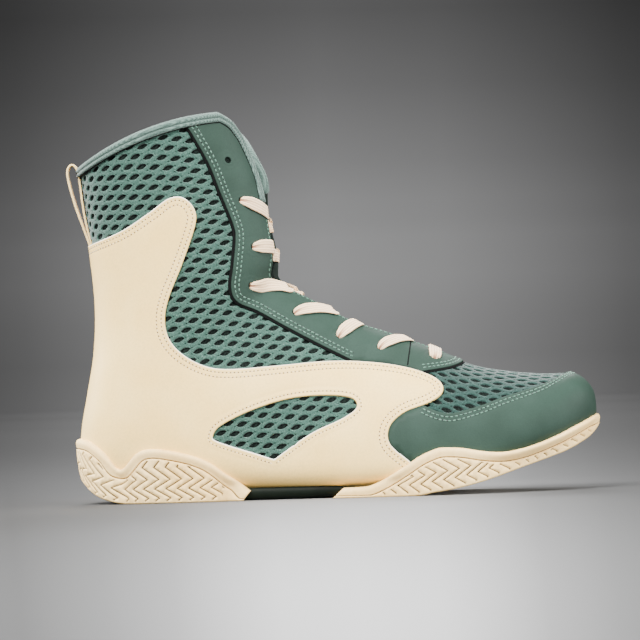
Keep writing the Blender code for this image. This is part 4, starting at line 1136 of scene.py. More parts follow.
class Cup:
    """One half of the sole: its side laid out by length round the outline, s, and by height.

    hand is 1 where the outline runs anticlockwise seen from above, and -1 where it runs clockwise.
    """

    def __init__(self, tree, hand, rays, rim, bottom, heights):
        self.hand, self.heights = hand, heights
        rim, self.bottom = (line[np.argsort(line[:, 0])] for line in (smooth(rim), smooth(bottom)))
        middle = heights[len(heights) // 2]
        probe = np.array([self.spot(ray, self.reach(tree, ray, middle), middle) for ray in rays])
        length = walk(probe[:, :2])
        self.stops = np.linspace(0.0, length[-1], int(length[-1] / SIDE_STEP))
        rays = picked(self.stops, length, rays)
        reach = np.array([[self.reach(tree, ray, z) for z in heights] for ray in rays])
        self.table = self.laid_out(rays, reach)
        self.top = np.array([self.crossing(column, rim, True) for column in self.table])
        firm = np.maximum(self.top - FIRM_BELOW_RIM, FIRM_LEAST)
        held = np.array([np.interp(z, heights, row) for z, row in zip(firm, reach)])
        fall = np.clip(firm[:, None] - heights[None], 0.0, None)
        reach = np.where(fall > 0, np.maximum(reach, held[:, None] - WALL_LEAN * fall ** LEAN_POWER), reach)
        self.table = self.laid_out(rays, reach)
        self.low = np.array([self.crossing(column, self.bottom, False) for column in self.table])

    @staticmethod
    def reach(tree, ray, z):
        """How far from its start a level ray leaves the sole."""
        start, way = Vector((ray[0], ray[1], z)), Vector((math.cos(ray[2]), math.sin(ray[2]), 0.0))
        found = tree.ray_cast(start + way * FAR_OFF, -way)[0]
        return max((found - start).dot(way), 0.0) if found else 0.0

    @staticmethod
    def spot(ray, reach, z):
        return ray[0] + math.cos(ray[2]) * reach, ray[1] + math.sin(ray[2]) * reach, z

    def laid_out(self, rays, reach):
        return np.array([[self.spot(ray, r, z) for r, z in zip(row, self.heights)]
                         for ray, row in zip(rays, reach)])

    @staticmethod
    def crossing(column, curve, from_top):
        """Where a column of the side meets a curve drawn in the side view."""
        above = column[:, 2] - np.interp(column[:, 0], curve[:, 0], curve[:, 1])
        met = np.nonzero(above <= 0)[0] if from_top else np.nonzero(above >= 0)[0] - 1
        i = 0 if not len(met) else met[-1] if from_top else met[0]
        i = min(max(i, 0), len(above) - 2)
        part = np.clip(-above[i] / (above[i + 1] - above[i] + 1e-9), 0.0, 1.0)
        return column[i, 2] + (column[i + 1, 2] - column[i, 2]) * part

    def at(self, s, z, push):
        """Points of the side at lengths and heights, moved outwards."""
        row = np.clip(s / self.stops[1], 0, len(self.stops) - 1.001)
        step = self.heights[1] - self.heights[0]
        column = np.clip((z - self.heights[0]) / step, 0, len(self.heights) - 1.001)
        i, j = row.astype(int), column.astype(int)
        a, b = (row - i)[..., None], (column - j)[..., None]
        near = self.table[i, j] * (1 - b) + self.table[i, j + 1] * b
        far = self.table[i + 1, j] * (1 - b) + self.table[i + 1, j + 1] * b
        slope = far - near
        out = unit(np.stack([slope[..., 1], -slope[..., 0], np.zeros(slope.shape[:-1])], -1)) * self.hand
        point = near * (1 - a) + far * a
        point[..., 2] = z
        return point + out * np.asarray(push)[..., None]

    def band(self, heights, pushes):
        """A closed strip of the side, from rows of heights and of pushes outwards."""
        rows = [self.at(self.stops, z, np.full(len(z), push)) for z, push in zip(heights, pushes)]
        return tube(np.array(rows), flip=self.hand > 0, shut=())

    def below_rim(self, gap):
        """Heights of the line at a distance below the rim, measured square to it."""
        shifts = np.linspace(-1.0, 1.0, 31) * max(gap, 0.0)
        drops = np.sqrt(np.maximum(gap ** 2 - shifts ** 2, 0.0))
        lines = [np.interp(self.stops + shift, self.stops, self.top) - drop
                 for shift, drop in zip(shifts, drops)]
        return np.min(lines, axis=0) - min(gap, 0.0)


def ribbed(outline, lines, spacing):
    """Flat points, triangles and groove marks of an outline filled in with sunk lines.

    lines are the grooves' middle lines. Each gets an edge on both sides, and stops short of the outline.
    """
    points, marks = [outline], [np.zeros(len(outline))]
    links = [(k, (k + 1) % len(outline)) for k in range(len(outline))]
    count = len(outline)
    for line in lines:
        for shift in (-RIB_HALF, -RIB_FLOOR, RIB_FLOOR, RIB_HALF):
            moved = line + np.array([shift, 0.0])
            fine = is_inside(moved, [outline]) & (loop_distances(moved, outline) > RIB_MARGIN)
            ids = np.nonzero(fine)[0]
            points.append(moved[ids])
            marks.append(np.full(len(ids), 1.0 if abs(shift) == RIB_FLOOR else 0.0))
            links.extend((count + k, count + k + 1) for k in range(len(ids) - 1) if ids[k + 1] == ids[k] + 1)
            count += len(ids)
    low, high = outline.min(0), outline.max(0)
    net = np.stack(np.meshgrid(np.arange(low[0], high[0], spacing), np.arange(low[1], high[1], spacing)), -1)
    net = net.reshape(-1, 2)
    net = net[is_inside(net, [outline])]
    taken = np.vstack(points)
    free = np.array([np.hypot(*(taken - point).T).min() > NET_MARGIN for point in net], bool)
    points.append(net[free])
    marks = np.concatenate([*marks, np.zeros(free.sum())])
    corners, _, faces, sources, *_ = triangulated(np.vstack(points), links)
    places = np.array([corner[:] for corner in corners])
    marks = np.array([max(marks[i] for i in ids) if ids else 0.0 for ids in sources])
    faces = np.array([face for face in faces if len(face) == 3])
    return places, trimmed(places, faces, [outline]), marks


def cornered(line, step):
    """A line with points at even steps, its corners kept."""
    spans = [np.linspace(a, b, max(int(np.hypot(*(b - a)) / step), 1), endpoint=False)
             for a, b in zip(line, line[1:])]
    return np.vstack([*spans, line[-1:]])


def ribbed_sides(cup, ceiling, floor, kinks, ribbed_at):
    """The herringbone stretches of the side, where there is height for them."""
    s = cup.stops
    zigzag = np.array(kinks)[:, ::-1]
    tall = np.nonzero(ceiling - floor >= SIDE_LEAST)[0]
    parts = []
    for block in np.split(tall, np.nonzero(np.diff(tall) > 1)[0] + 1):
        if len(block) < BLOCK_LEAST:
            continue
        ids = np.arange(max(block[0] - 1, 0), min(block[-1] + 2, len(s)))
        upper, lower = (np.stack([s[ids], line[ids]], -1) for line in (ceiling, floor))
        first, last = ceiling[ids[[0, -1]]] == floor[ids[[0, -1]]]
        outline = np.vstack([lower, upper[int(first):len(ids) - int(last)][::-1]])
        lines = []
        for start in np.arange(s[ids[0]] - RIB_RUN_ON, s[ids[-1]] + RIB_RUN_ON, RIB_PITCH):
            line = cornered(zigzag + np.array([start, 0.0]), 1.1)
            line[:, 1] += np.interp(line[:, 0], s, cup.low)
            lines.append(line[ribbed_at(cup.at(line[:, 0], line[:, 1], np.zeros(len(line))))])
        places, faces, marks = ribbed(outline, lines, 1.6)
        points = cup.at(places[:, 0], places[:, 1], -RIB_DEPTH * marks)
        # The marks, 1 on the grooves' floors, also paint shade there
        parts.append((points, faces if cup.hand > 0 else faces[:, ::-1], marks))
    return parts


def ribbed_underside(cup, base):
    """The underside, inside the lower edge's last row of points."""
    outline = base[:, :2]
    across = np.arange(-52.0, 53.0, UNDER_STEP)
    starts = np.arange(outline[:, 0].min() - RIB_RUN_ON, outline[:, 0].max() + RIB_RUN_ON, UNDER_PITCH)
    lines = [cornered(np.stack([start + UNDER_KINK * (np.arange(len(across)) % 2), across], -1), 1.6)
             for start in starts]
    places, faces, marks = ribbed(outline, lines, 3.0)
    height = np.interp(places[:, 0], cup.bottom[:, 0], cup.bottom[:, 1])
    points = np.stack([places[:, 0], places[:, 1], height + RIB_DEPTH * marks], -1)
    on_edge = loop_distances(places, outline) < 0.01
    points[on_edge] = base[nearest_pieces(places[on_edge], outline, outline + 1e-6)[1]]
    # Painted shade on the floors of the grooves, weaker than on the side
    return points, faces[:, ::-1], marks * UNDER_SHADE


def cup_mesh(cup, kinks, ribbed_at):
    """The band below the rim, the herringbone side, the rounded lower edge and the ribbed underside."""
    floor = cup.low + EDGE_ROWS[0][0]
    room = np.linspace(BAND_LEAST, 0.0, len(BAND_ROWS))
    heights = [np.maximum(cup.below_rim(down), floor + least) for (down, _), least in zip(BAND_ROWS, room)]
    heights[-1] = np.where(heights[-1] - floor < SIDE_LEAST, floor, heights[-1])
    points, faces, _ = cup.band(heights, [push for _, push in BAND_ROWS])
    # Painted shade in the groove below the band
    dark = [float(push < GROOVE_DEEP and down > GROOVE_FROM) for down, push in BAND_ROWS]
    edge = cup.band([cup.low + up for up, _ in EDGE_ROWS], [push for _, push in EDGE_ROWS])
    return joined([(points, faces, np.repeat(dark, len(floor))), edge,
                   *ribbed_sides(cup, heights[-1], floor, kinks, ribbed_at),
                   ribbed_underside(cup, edge[0][-len(floor):])])


def sole_rays(straight, middle, centre, turns):
    """Where the side is looked up from: square to a line along the foot, then fanned round its end."""
    rows = [(straight, turns[0]), (np.full(len(turns), centre), turns), (straight[::-1], turns[-1])]
    first, fan, last = (np.stack(np.broadcast_arrays(x, middle, turn), -1) for x, turn in rows)
    return np.vstack([first, fan[1:], last[1:]])


def heel_ribs(points):
    """Which points of the heel's side carry the herringbone: it closes to a point in front."""
    return points[:, 0] < HEEL_RIBS_END - HEEL_RIBS_SLOPE * np.abs(points[:, 2] - HEEL_RIBS_HEIGHT)


def forefoot_ribs(points):
    """Which points of the forefoot's side carry the herringbone: all but the plain rear end."""
    return points[:, 0] > FOREFOOT_RIBS_START


def slanted(points, end, lean):
    """Points whose end near an x leans over: forwards with height where lean is positive."""
    weight = np.clip(1 - np.abs(points[:, 0] - end) / LEAN_REACH, 0.0, 1.0)
    shift = weight * lean * (np.minimum(points[:, 2], LEAN_TOP) - LEAN_PIVOT)
    return points + np.stack([shift, 0 * shift, 0 * shift], -1)


def build_sole():
    tree = sole_tree()
    heel_turns, toe_turns = np.radians(np.linspace(-90, -270, 120)), np.radians(np.linspace(-90, 90, 120))
    heel_rays = sole_rays(np.linspace(HEEL_END, HEEL_CENTRE, 40), HEEL_MIDDLE, HEEL_CENTRE, heel_turns)
    toe_rays = sole_rays(np.linspace(FOREFOOT_END, TOE_CENTRE, 60), TOE_MIDDLE, TOE_CENTRE, toe_turns)
    heel = Cup(tree, -1.0, heel_rays, HEEL_RIM, HEEL_BOTTOM, np.arange(-1.0, 41.0, 1.0))
    forefoot = Cup(tree, 1.0, toe_rays, FOREFOOT_RIM, TOE_SPRING, np.arange(-1.0, 47.0, 1.0))
    for name, node, cup, kinks, ribs, end, lean in (
            ("heel_cup", "outsole_heel", heel, HEEL_KINKS, heel_ribs, HEEL_END, HEEL_END_LEAN),
            ("forefoot_cup", "outsole_forefoot", forefoot, FOREFOOT_KINKS, forefoot_ribs, FOREFOOT_END,
             FOREFOOT_END_LEAN)):
        points, faces, tones = cup_mesh(cup, kinks, ribs)
        shape = slanted(points, end, lean), faces, tones
        piece(name, shape, RUBBER_FINISH, "cream_rubber", node, weld=PANEL_WELD)


ARCH_TOP = ((-60.0, 6.8), (-45.0, 6.8), (-20.0, 6.8), (0.0, 6.6), (12.0, 5.2))
ARCH_LOW = ((-60.0, 0.4), (-45.0, 0.4), (-20.0, 0.6), (-4.0, 1.0), (12.0, 1.6))
ARCH_HALF_WIDTHS = ((-60.0, 30.0), (-20.0, 33.0), (0.0, 34.0), (12.0, 33.0))
# Half of the shank's section, from its upper corner to its middle, as shares of half-width and height
ARCH_SECTION = ((-0.97, 1.0), (-1.0, 0.85), (-1.0, 0.55), (-0.985, 0.25), (-0.95, 0.06), (-0.9, 0.0),
                (-0.45, 0.04), (0.0, 0.06))


def build_arch():
    """The dark shank that bridges the two halves of the sole."""
    x = np.linspace(-58.0, 10.0, 60)
    high, deep = (np.interp(x, *smooth(line).T) for line in (ARCH_TOP, ARCH_LOW))
    half = np.interp(x, *np.array(ARCH_HALF_WIDTHS).T)
    ring = ARCH_SECTION + tuple((-a, b) for a, b in ARCH_SECTION[-2::-1])
    grid = np.stack([np.stack([x, half * a, deep + (high - deep) * b], -1) for a, b in ring], 1)
    piece("arch_shank", tube(grid), ARCH_FINISH, "dark_arch", "arch_sole")


# Tapes, laces and stitches

def ribbon(path, out, profile, width=1.0, height=1.0, guide=None):
    """Rings of a band along 3D points. profile is a ring of (across, out) points.

    out gives the directions up, and width and height scale the profile. The directions across are taken
    from guide, a line with gentler bends than the path.
    """
    way = unit(np.gradient(path, axis=0))
    across = unit(np.cross(way if guide is None else unit(np.gradient(guide, axis=0)), unit(out)))
    out = unit(np.cross(across, way))
    wide, tall = (np.outer(np.broadcast_to(scale, len(path)), column)[..., None]
                  for scale, column in zip((width, height), profile.T))
    return path[:, None] + across[:, None] * wide + out[:, None] * tall


LACE_WIDTH, LACE_THICKNESS = 7.6, 1.3
# The ribs' tone is painted shade in the valleys between them
LACE_RIBS, LACE_RIB_DEPTH, LACE_RIB_SHADE = 5, 0.13, 0.55
LACE_REST = 1.9               # height of a lace's middle over the last where it lies on the eyestay
LACE_STEPS = 6                # between knots
# The fold where a lace goes into an eyelet: its length in knots, then its half-width, depth and tone, the
# tone being painted shade in the fold
FOLD_SPAN, FOLD_HALF_WIDTH, FOLD_DEPTH, FOLD_SHADE = 1.3, 0.9, 0.75, 0.9
PINCHED_HEIGHT = 0.4          # how much thicker a lace is where it is drawn together
# Where each crossing, counted from the toe, passes over the front edge in the side view
LACE_EDGES = ((40.0, 86.3), (13.1, 97.6), (-0.4, 104.1), (-24.1, 118.9), (-29.4, 142.6), (-34.9, 158.5))
INNER_EDGE_SHIFT = (0.0, 0.0, 0.0, -0.45, -0.95, -0.72)   # how much lower the inner ones pass, in sections
# From the eyelet to the front edge: (share of the way, height as a share of LACE_REST, width)
LACE_ON_PANEL = ((0.0, -0.85, 0.5), (0.01, 0.3, 0.55), (0.1, 0.95, 0.74), (0.3, 1.1, 0.95), (0.6, 1.08, 1.0),
                 (0.85, 1.03, 1.0), (1.0, 0.95, 1.0))
# The bar, from its eyelet to the ridge: (share of the eyelet's distance from the ridge, height, width)
LACE_BAR = ((1.0, -1.5, 0.7), (0.99, 0.5, 0.75), (0.93, LACE_REST, 0.9), (0.7, LACE_REST + 0.2, 1.0),
            (0.4, LACE_REST, 1.0), (0.1, LACE_REST, 1.0))
OVER = 0.65                   # how much higher or lower the two laces of a crossing pass at the ridge
EDGE_MARGIN = 0.7             # how far short of the front edge a lace starts to bend down


def lace_profile(count=21):
    """Section of a flat woven lace: crowned, with fine ribs, and how deep each point lies between ribs."""
    t = np.linspace(-1.0, 1.0, count)
    crown = (1 - np.abs(t) ** 4) ** 0.5
    valley = 0.5 - 0.5 * np.cos(t * LACE_RIBS * math.pi)
    upper = np.stack([t * LACE_WIDTH / 2, LACE_THICKNESS * 0.5 * crown - LACE_RIB_DEPTH * valley * crown], -1)
    lower = np.stack([t * LACE_WIDTH / 2, -LACE_THICKNESS * 0.4 * crown], -1)
    deep = np.concatenate([valley, np.zeros(count - 2)])
    return np.vstack([upper, lower[::-1][1:-1]])[::-1], deep[::-1]


def lace(knots, pinches):
    """A lace through (u, reach, offset, width share) knots, folded in two at the knots that pinches names."""
    u, reach, offset, widths = np.asarray(knots, float).T
    angle, side = ridge_places(u, reach)
    path, guide, out = (smooth(line, LACE_STEPS) for line in (
        grown(u, angle, side, offset), last_points(u, angle, side), normals(u, angle, side)))
    fine = np.linspace(0, len(u) - 1, len(path))
    width = np.interp(fine, np.arange(len(u)), widths)
    profile, deep = lace_profile()
    fold = np.max([np.exp(-((fine - pinch) / FOLD_SPAN) ** 2) for pinch in pinches], axis=0)
    middle = np.exp(-(profile[:, 0] / FOLD_HALF_WIDTH) ** 2) * (profile[:, 1] > 0)
    dent = unit(out)[:, None] * (fold[:, None] * middle[None] * FOLD_DEPTH)[..., None]
    grid = ribbon(path, out, profile, width, 1.0 + PINCHED_HEIGHT * (1 - width), guide)
    points, faces, _ = tube(grid - dent, flip=True)
    # Painted shade in the valleys between the ribs and in the fold
    tone = LACE_RIB_SHADE * deep[None] + FOLD_SHADE * fold[:, None] * middle[None]
    return points, faces, np.clip(tone, 0.0, 1.0).ravel()


def crossing_knots(start, end, edge, far, below, side):
    """Knots of a lace from the eyelet at start, over the front edge and under to the eyelet at end."""
    gap = float(half_gap(edge, side))
    share, height, width = np.array(LACE_ON_PANEL).T
    u, across = start + (edge - start) * share, far + (gap + EDGE_MARGIN - far) * share
    height = LACE_REST * height + inner_lift(u, ridge_places(u, across)[0], side)
    # Under the eyestay: (share of the way to the eyelet, reach, height, width)
    down = ((0.03, gap - 0.5, 0.5, 1.0), (0.07, gap - 1.6, -1.2, 1.0), (0.3, 0.02, -2.5 - side * OVER, 1.0),
            (0.5, -gap - 1.0, -2.9, 1.0), (0.75, -0.6 * below, -3.1, 0.75), (0.95, -0.85 * below, -3.1, 0.75),
            (1.0, -below, -2.9, 0.75))
    knots = np.vstack([np.stack([u, across, height, width], -1), down])
    knots[len(u):, 0] = edge + (end - edge) * knots[len(u):, 0]
    return knots * np.array([1.0, side, 1.0, 1.0])


def build_laces():
    us, edge_us = eyelet_places[:, 0], place_of(LACE_EDGES)[0][:, 0]
    middles = section(us)["middle"]
    reach = np.abs(last_points(us, eyelet_places[:, 1], -1.0)[:, 1] - middles)
    half = np.array([(us[0], reach[0] * part, height, width) for part, height, width in LACE_BAR])
    knots = np.vstack([half * np.array([1.0, -1.0, 1.0, 1.0]), half[::-1]])
    bar = lace(knots, (1.0, len(knots) - 2.0))
    piece("lace_bar_ribbon", bar, LACE_FINISH, "lace_cotton", "lace_bar")
    for index in range(1, len(EYELETS) - 1):
        parts = []
        for side in SIDES:
            edge = edge_us[index - 1] + (INNER_EDGE_SHIFT[index - 1] if side > 0 else 0.0)
            knots = crossing_knots(us[index], us[index - 1], edge, reach[index], reach[index - 1], side)
            parts.append(lace(knots, (1.2,)))
        piece("lace_ribbon_%d" % index, joined(parts), LACE_FINISH, "lace_cotton", "lace_cross_%d" % index)


BINDING_FRONTS = {-1: 17.1, 1: 17.4}   # where the tape starts on the outer and the inner front edge
BINDING_PROFILE = ((4.7, 0.9), (4.75, 1.5), (4.3, 2.1), (3.5, 2.3), (2.8, 2.05), (2.45, 1.5), (2.1, 2.05),
                   (1.4, 2.4), (0.5, 2.3), (-0.3, 1.6), (-0.8, 0.3), (-0.8, -1.2), (-0.3, -2.5), (1.0, -3.0),
                   (4.0, -2.9), (4.6, -2.3))   # (inset from the edge, height)
BINDING_WRAP = 0.3            # insets up to this one go round the edge, further ones follow the last


def bound_edge(side):
    """The edge that the binding wraps: the upper part of the front edge and the collar, to the back."""
    front = throat_line(side, BINDING_FRONTS[side], COLLAR)
    top = run_of(COLLAR, np.linspace(front[-1, 1], -HALF_TURN, 80))
    return np.vstack([front, top[1:]])


def build_binding():
    """The woven tape that wraps the collar and the upper part of the front edges."""
    parts = []
    for side in SIDES:
        edge = chart_run(bound_edge(side), 1.1)
        flat = to_chart(edge)
        left = line_normals(flat)
        lift = inner_lift(*edge.T, side)
        base, out = grown(*edge.T, side, lift), normals(*edge.T, np.full(len(edge), float(side)))
        inward = unit(grown(*from_chart(flat + left).T, side, lift) - base)
        columns = []
        for inset, height in BINDING_PROFILE:
            if inset > BINDING_WRAP:
                columns.append(grown(*from_chart(flat + left * inset).T, side, height + lift))
            else:
                columns.append(base + inward * inset + out * height)
        grid = np.stack(columns, 1)
        grid[-1, :, 1] = section(COLLAR)["middle"]
        parts.append(tube(grid, flip=side > 0, shut=(FIRST,)))
    piece("binding_tape", joined(parts), BINDING_FINISH, "teal_binding", "collar_binding", weld=0.02)


# Rings of a stitch, as (share of its half-length, share of its size)
STITCH_SPANS = ((-1.0, 0.0), (-0.72, 0.75), (0.0, 1.0), (0.72, 0.75), (1.0, 0.0))
STITCH_SIDES, STITCH_LEAST = 6, 0.15   # points round a stitch, and its least size
STITCH_SINK, STITCH_CROWN = 0.3, 0.9   # how far its ends dive in, as a share of the bulk, and from what size
# Pitch along the seam, and (length, width, bulk) of the stitches and of the holes between them, which are
# dark blobs of painted shade
CREAM_PITCH, CREAM_STITCH, CREAM_HOLE = 2.15, (1.35, 0.6, 0.4), (0.8, 0.74, 0.2)
GREEN_PITCH, GREEN_STITCH, GREEN_HOLE = 2.6, (1.9, 0.85, 0.6), (0.9, 0.8, 0.2)
CREAM_HOLE_SHIFT, GREEN_HOLE_SHIFT = 1.07, 1.3   # from a stitch to the hole after it
THROAT_STITCHES = (5.7, 16.9)   # sections between which the front edge is stitched


def stitches(line, side, height, pitch, sizes, phase=0.0, lift=False):
    """Small closed stitches along chart points. lift lets them rise with the inner flap."""
    length, width, bulk = sizes
    stops = walk(line)
    centres = np.arange(phase + pitch / 2, stops[-1], pitch)
    around = np.linspace(0.0, 2 * math.pi, STITCH_SIDES, endpoint=False)[:, None]
    at = np.clip(np.concatenate([centres + length / 2 * t for t, _ in STITCH_SPANS]), 0.0, stops[-1])
    places = from_chart(picked(at, stops, line))
    if lift:
        height = height + inner_lift(*places.T, side)
    base, out = (vectors.reshape(len(STITCH_SPANS), -1, 3) for vectors in (
        grown(*places.T, side, height), normals(*places.T, np.full(len(at), float(side)))))
    out = out[len(STITCH_SPANS) // 2]
    across = unit(np.cross(unit(base[-1] - base[0]), out))
    made = []
    for k in range(len(centres)):
        rings = []
        for ring, (_, size) in enumerate(STITCH_SPANS):
            least = max(size, STITCH_LEAST)
            wide, tall = across[k] * width / 2 * least, out[k] * bulk / 2 * least
            sunk = base[ring, k] + out[k] * (bulk * STITCH_SINK * (size - STITCH_CROWN))
            rings.append(sunk + np.cos(around) * wide + np.sin(around) * tall)
        made.append(tube(np.array(rings), flip=True))
    return made


def beside(places, gap, hand):
    """Chart line at a distance from an edge, to its left (1) or right (-1), without its folds."""
    line = respaced(to_chart(places), 0.6)
    moved = line + line_normals(line) * gap * hand
    return moved[distances(moved, line[:-1], line[1:]) > abs(gap) * RING_FIT[0]]


def build_stitches():
    cream, holes, green, dips = [], [], [], []
    for places, hand, seams in ((saddle_edge, -1, SADDLE_SEAMS), (window_edge, 1, WINDOW_SEAMS)):
        for line in [beside(places, seam, hand) for seam in seams]:
            for side in SIDES:
                cream += stitches(line, side, SADDLE_TOP - 0.1, CREAM_PITCH, CREAM_STITCH)
                holes += stitches(line, side, SADDLE_TOP - 0.04, CREAM_PITCH, CREAM_HOLE, CREAM_HOLE_SHIFT)
    rows = [(beside(places, seam, hand), side, False)
            for places, hand in ((eyestay_edge, 1), (eyestay_lip, 1), (toe_cap_edge, -1))
            for seam in GREEN_SEAMS for side in SIDES]
    rows += [(beside(throat_line(side, *THROAT_STITCHES), THROAT_SEAM, 1), side, True) for side in SIDES]
    for line, side, lift in rows:
        green += stitches(line, side, GREEN_TOP - 0.02, GREEN_PITCH, GREEN_STITCH, lift=lift)
        dips += stitches(line, side, GREEN_TOP - 0.06, GREEN_PITCH, GREEN_HOLE, GREEN_HOLE_SHIFT, lift)
    # The needle holes are dark blobs that paint the shade in the holes
    for name, parts, finish, slot in (("cream_stitches", cream, CREAM_THREAD, "cream_synthetic"),
                                      ("needle_holes", holes, HOLE_SHADE_FINISH, "cream_synthetic"),
                                      ("green_stitches", green, GREEN_THREAD, "sage_synthetic"),
                                      ("green_needle_holes", dips, DIP_SHADE_FINISH, "sage_synthetic")):
        piece(name, joined(parts), finish, slot)


def edge_band(places, side, hand, near, far, low, high):
    """A thin band beside an edge, between two distances from it and two heights."""
    line = respaced(to_chart(places), 1.0)
    left = line_normals(line) * hand
    grid = np.stack([grown(*from_chart(line + left * gap).T, side, height)
                     for gap, height in ((near, low), (near, high), (far, high), (far, low))], 1)
    return tube(grid, flip=(side > 0) != (hand > 0))


def build_raw_edges():
    """The dark underlay along the eyestay's edge and lip, the eyestay's seam, and below the binding a dark
    strip that is a painted shadow.
    """
    seam = place_of(respaced(np.array(EYESTAY_SEAM), 1.0))[0]
    parts = []
    for side in SIDES:
        parts += [edge_band(eyestay_edge, side, -1, -1.0, 1.4, 0.1, 0.55),
                  edge_band(eyestay_lip[:-2], side, -1, -1.0, 1.2, 0.1, 0.55),
                  edge_band(seam, side, 1, -0.35, 0.35, 0.6, GREEN_TOP + 0.03),
                  # A dark strip below the binding: a painted shadow
                  edge_band(bound_edge(side), side, 1, 4.3, 5.3, 0.2, GREEN_TOP + 0.12)]
    piece("raw_edges_and_shadow", joined(parts), RAW_EDGE_AND_SHADOW_FINISH, "dark_lining")


LOOP_RIBS, LOOP_RIB_HEIGHT, LOOP_ROUNDING = 6, 0.05, 0.3


def build_pull_loop():
    line = smooth(LOOP_PATH, 6)
    slope = np.gradient(line, axis=0)
    square = np.stack([-slope[:, 1], slope[:, 0]], -1)
    path, out = (np.insert(flat, 1, 0.0, axis=1) for flat in (line, square))
    t = np.linspace(-1.0, 1.0, 13)
    rib = LOOP_THICKNESS / 2 * (1 - np.abs(t) ** 8 * LOOP_ROUNDING)
    rib += LOOP_RIB_HEIGHT * np.cos(t * LOOP_RIBS * math.pi)
    upper, lower = (np.stack([t * LOOP_WIDTH / 2, rib * way], -1) for way in (1, -1))
    profile = np.vstack([upper, lower[::-1]])[::-1]
    piece("pull_tape", tube(ribbon(path, out, profile), flip=True), TAPE_FINISH, "loop_tape", "pull_loop")


TONGUE_TOP, TONGUE_BOTTOM, TONGUE_HALF_WIDTH = -4.0, -7.0, 21.0
TONGUE_START, TONGUE_END = 5.0, 19.4   # in sections
TONGUE_EDGE = 0.35            # how thick it is at its edges, as a share
TONGUE_FOOT, TONGUE_WIDENS = 0.62, 0.1   # its width at the start, as a share, and how fast it widens
TONGUE_ROUNDING = 0.5         # sections over which its ends are rounded


def build_tongue():
    """The padded tongue: full in the middle, thin at its edges."""
    us = np.linspace(TONGUE_START, TONGUE_END, 110)
    shares = np.linspace(-1.0, 1.0, 25)
    width = TONGUE_HALF_WIDTH * np.minimum(1.0, TONGUE_FOOT + TONGUE_WIDENS * (us - TONGUE_START))
    u = np.repeat(us[:, None], len(shares), 1)
    reach = shares[None] * width[:, None]
    angle, side = ridge_places(u, np.where(reach == 0, 1e-6, reach))
    puff = (1 - np.abs(shares) ** 4) ** 0.5
    ends = np.clip(np.minimum(us - us[0], us[-1] - us) / TONGUE_ROUNDING, 0.0, 1.0) ** 0.5
    middle = (TONGUE_TOP + TONGUE_BOTTOM) / 2
    full = TONGUE_EDGE + (1 - TONGUE_EDGE) * puff[None] * ends[:, None]
    thick = (TONGUE_TOP - TONGUE_BOTTOM) / 2 * full
    top, low = grown(u, angle, side, middle + thick), grown(u, angle, side, middle - thick)
    shape = tube(np.concatenate([top, low[:, ::-1]], axis=1), flat=True)
    tongue = piece("padded_tongue", shape, TONGUE_FINISH, "mesh_green", "tongue", weld=0.005)


INSOLE_EASE, INSOLE_THICKNESS, INSOLE_LEAST = 2.6, 3.0, 0.5   # the last is its least half-width
INSOLE_ROUNDING = 0.45        # how much thinner it is at its edges, as a share
INSOLE_ROWS = ((1.15, 2.4, 16), (2.5, 11.5, 60), (11.6, 12.1, 8))   # first section, last section, count


def build_insole():
    us = np.concatenate([np.linspace(*row) for row in INSOLE_ROWS])
    outer, inner = (last_points(us, low_angle(us), float(side)) for side in SIDES)
    middle = section(us)["middle"]
    left, right = (np.maximum(np.abs(edge[:, 1] - middle) - WALL - INSOLE_EASE, INSOLE_LEAST)
                   for edge in (outer, inner))
    left, right = middle - left, middle + right
    t = np.linspace(-1.0, 1.0, 15)
    crown = np.concatenate([INSOLE_THICKNESS * (1 - np.abs(t) ** 10 * INSOLE_ROUNDING), np.zeros(len(t))])
    across = np.concatenate([t, t[::-1]])
    y = (left + right)[:, None] / 2 + (right - left)[:, None] / 2 * across[None]
    z = outer[:, 2][:, None] + crown[None]
    sheet = np.stack(np.broadcast_arrays(outer[:, 0][:, None], y, z), -1)
    piece("insole_board", tube(sheet, flat=True), LINING_FINISH, "dark_lining", "insole")


# Studio

def build_camera():
    data = bpy.data.cameras.new("camera")
    data.lens = data.sensor_width * (VIEW_DISTANCE + VIEW_DEPTH) / FRAME_WIDTH
    data.clip_end = 30.0
    camera = bpy.data.objects.new("camera", data)
    camera.matrix_world = (Matrix.Translation((VIEW_CENTRE[0] * MM, -VIEW_DISTANCE * MM, VIEW_CENTRE[1] * MM))
                           @ Matrix.Rotation(HALF_TURN, 4, "X")
                           @ Matrix.Rotation(math.radians(VIEW_ROLL), 4, "Z"))
    bpy.context.scene.collection.objects.link(camera)
    bpy.context.scene.camera = camera


# The backdrop stands further off than any camera
FLOOR_DEPTH, BACKDROP_BEND, BACKDROP_TOP = 3400.0, 700.0, 5000.0
FLOOR_FRONTS, FLOOR_SIDES = (-6000.0, -1500.0), (-7000.0, 0.0, 7000.0)
# Painted light on the floor and backdrop: greys of the floor by depth, of the backdrop by height and of both
# by how far aside they lie, each as (share, grey), that paint a pool of light and its falloff over the pale
# floor. The spans below them, in metres, are what the shares run over
FLOOR_GREYS = ((0.0, 0.43), (0.065, 0.395), (0.117, 0.363), (0.181, 0.314), (0.222, 0.281), (0.269, 0.253),
               (0.305, 0.226), (0.345, 0.2), (0.392, 0.184), (0.504, 0.179), (0.656, 0.17), (0.76, 0.173),
               (0.881, 0.222), (0.927, 0.288), (0.969, 0.345), (1.0, 0.384))
WALL_GREYS = ((0.0, 0.73), (0.1, 0.705), (0.195, 0.8), (0.3, 0.95), (0.4, 1.0), (0.5, 0.91), (0.6, 0.74),
              (0.8, 0.506), (1.0, 0.348))
FLOOR_SIDE_GREYS = ((0.0, 1.0), (0.235, 0.92), (0.456, 0.595), (0.544, 0.455), (0.75, 0.295), (1.0, 0.17))
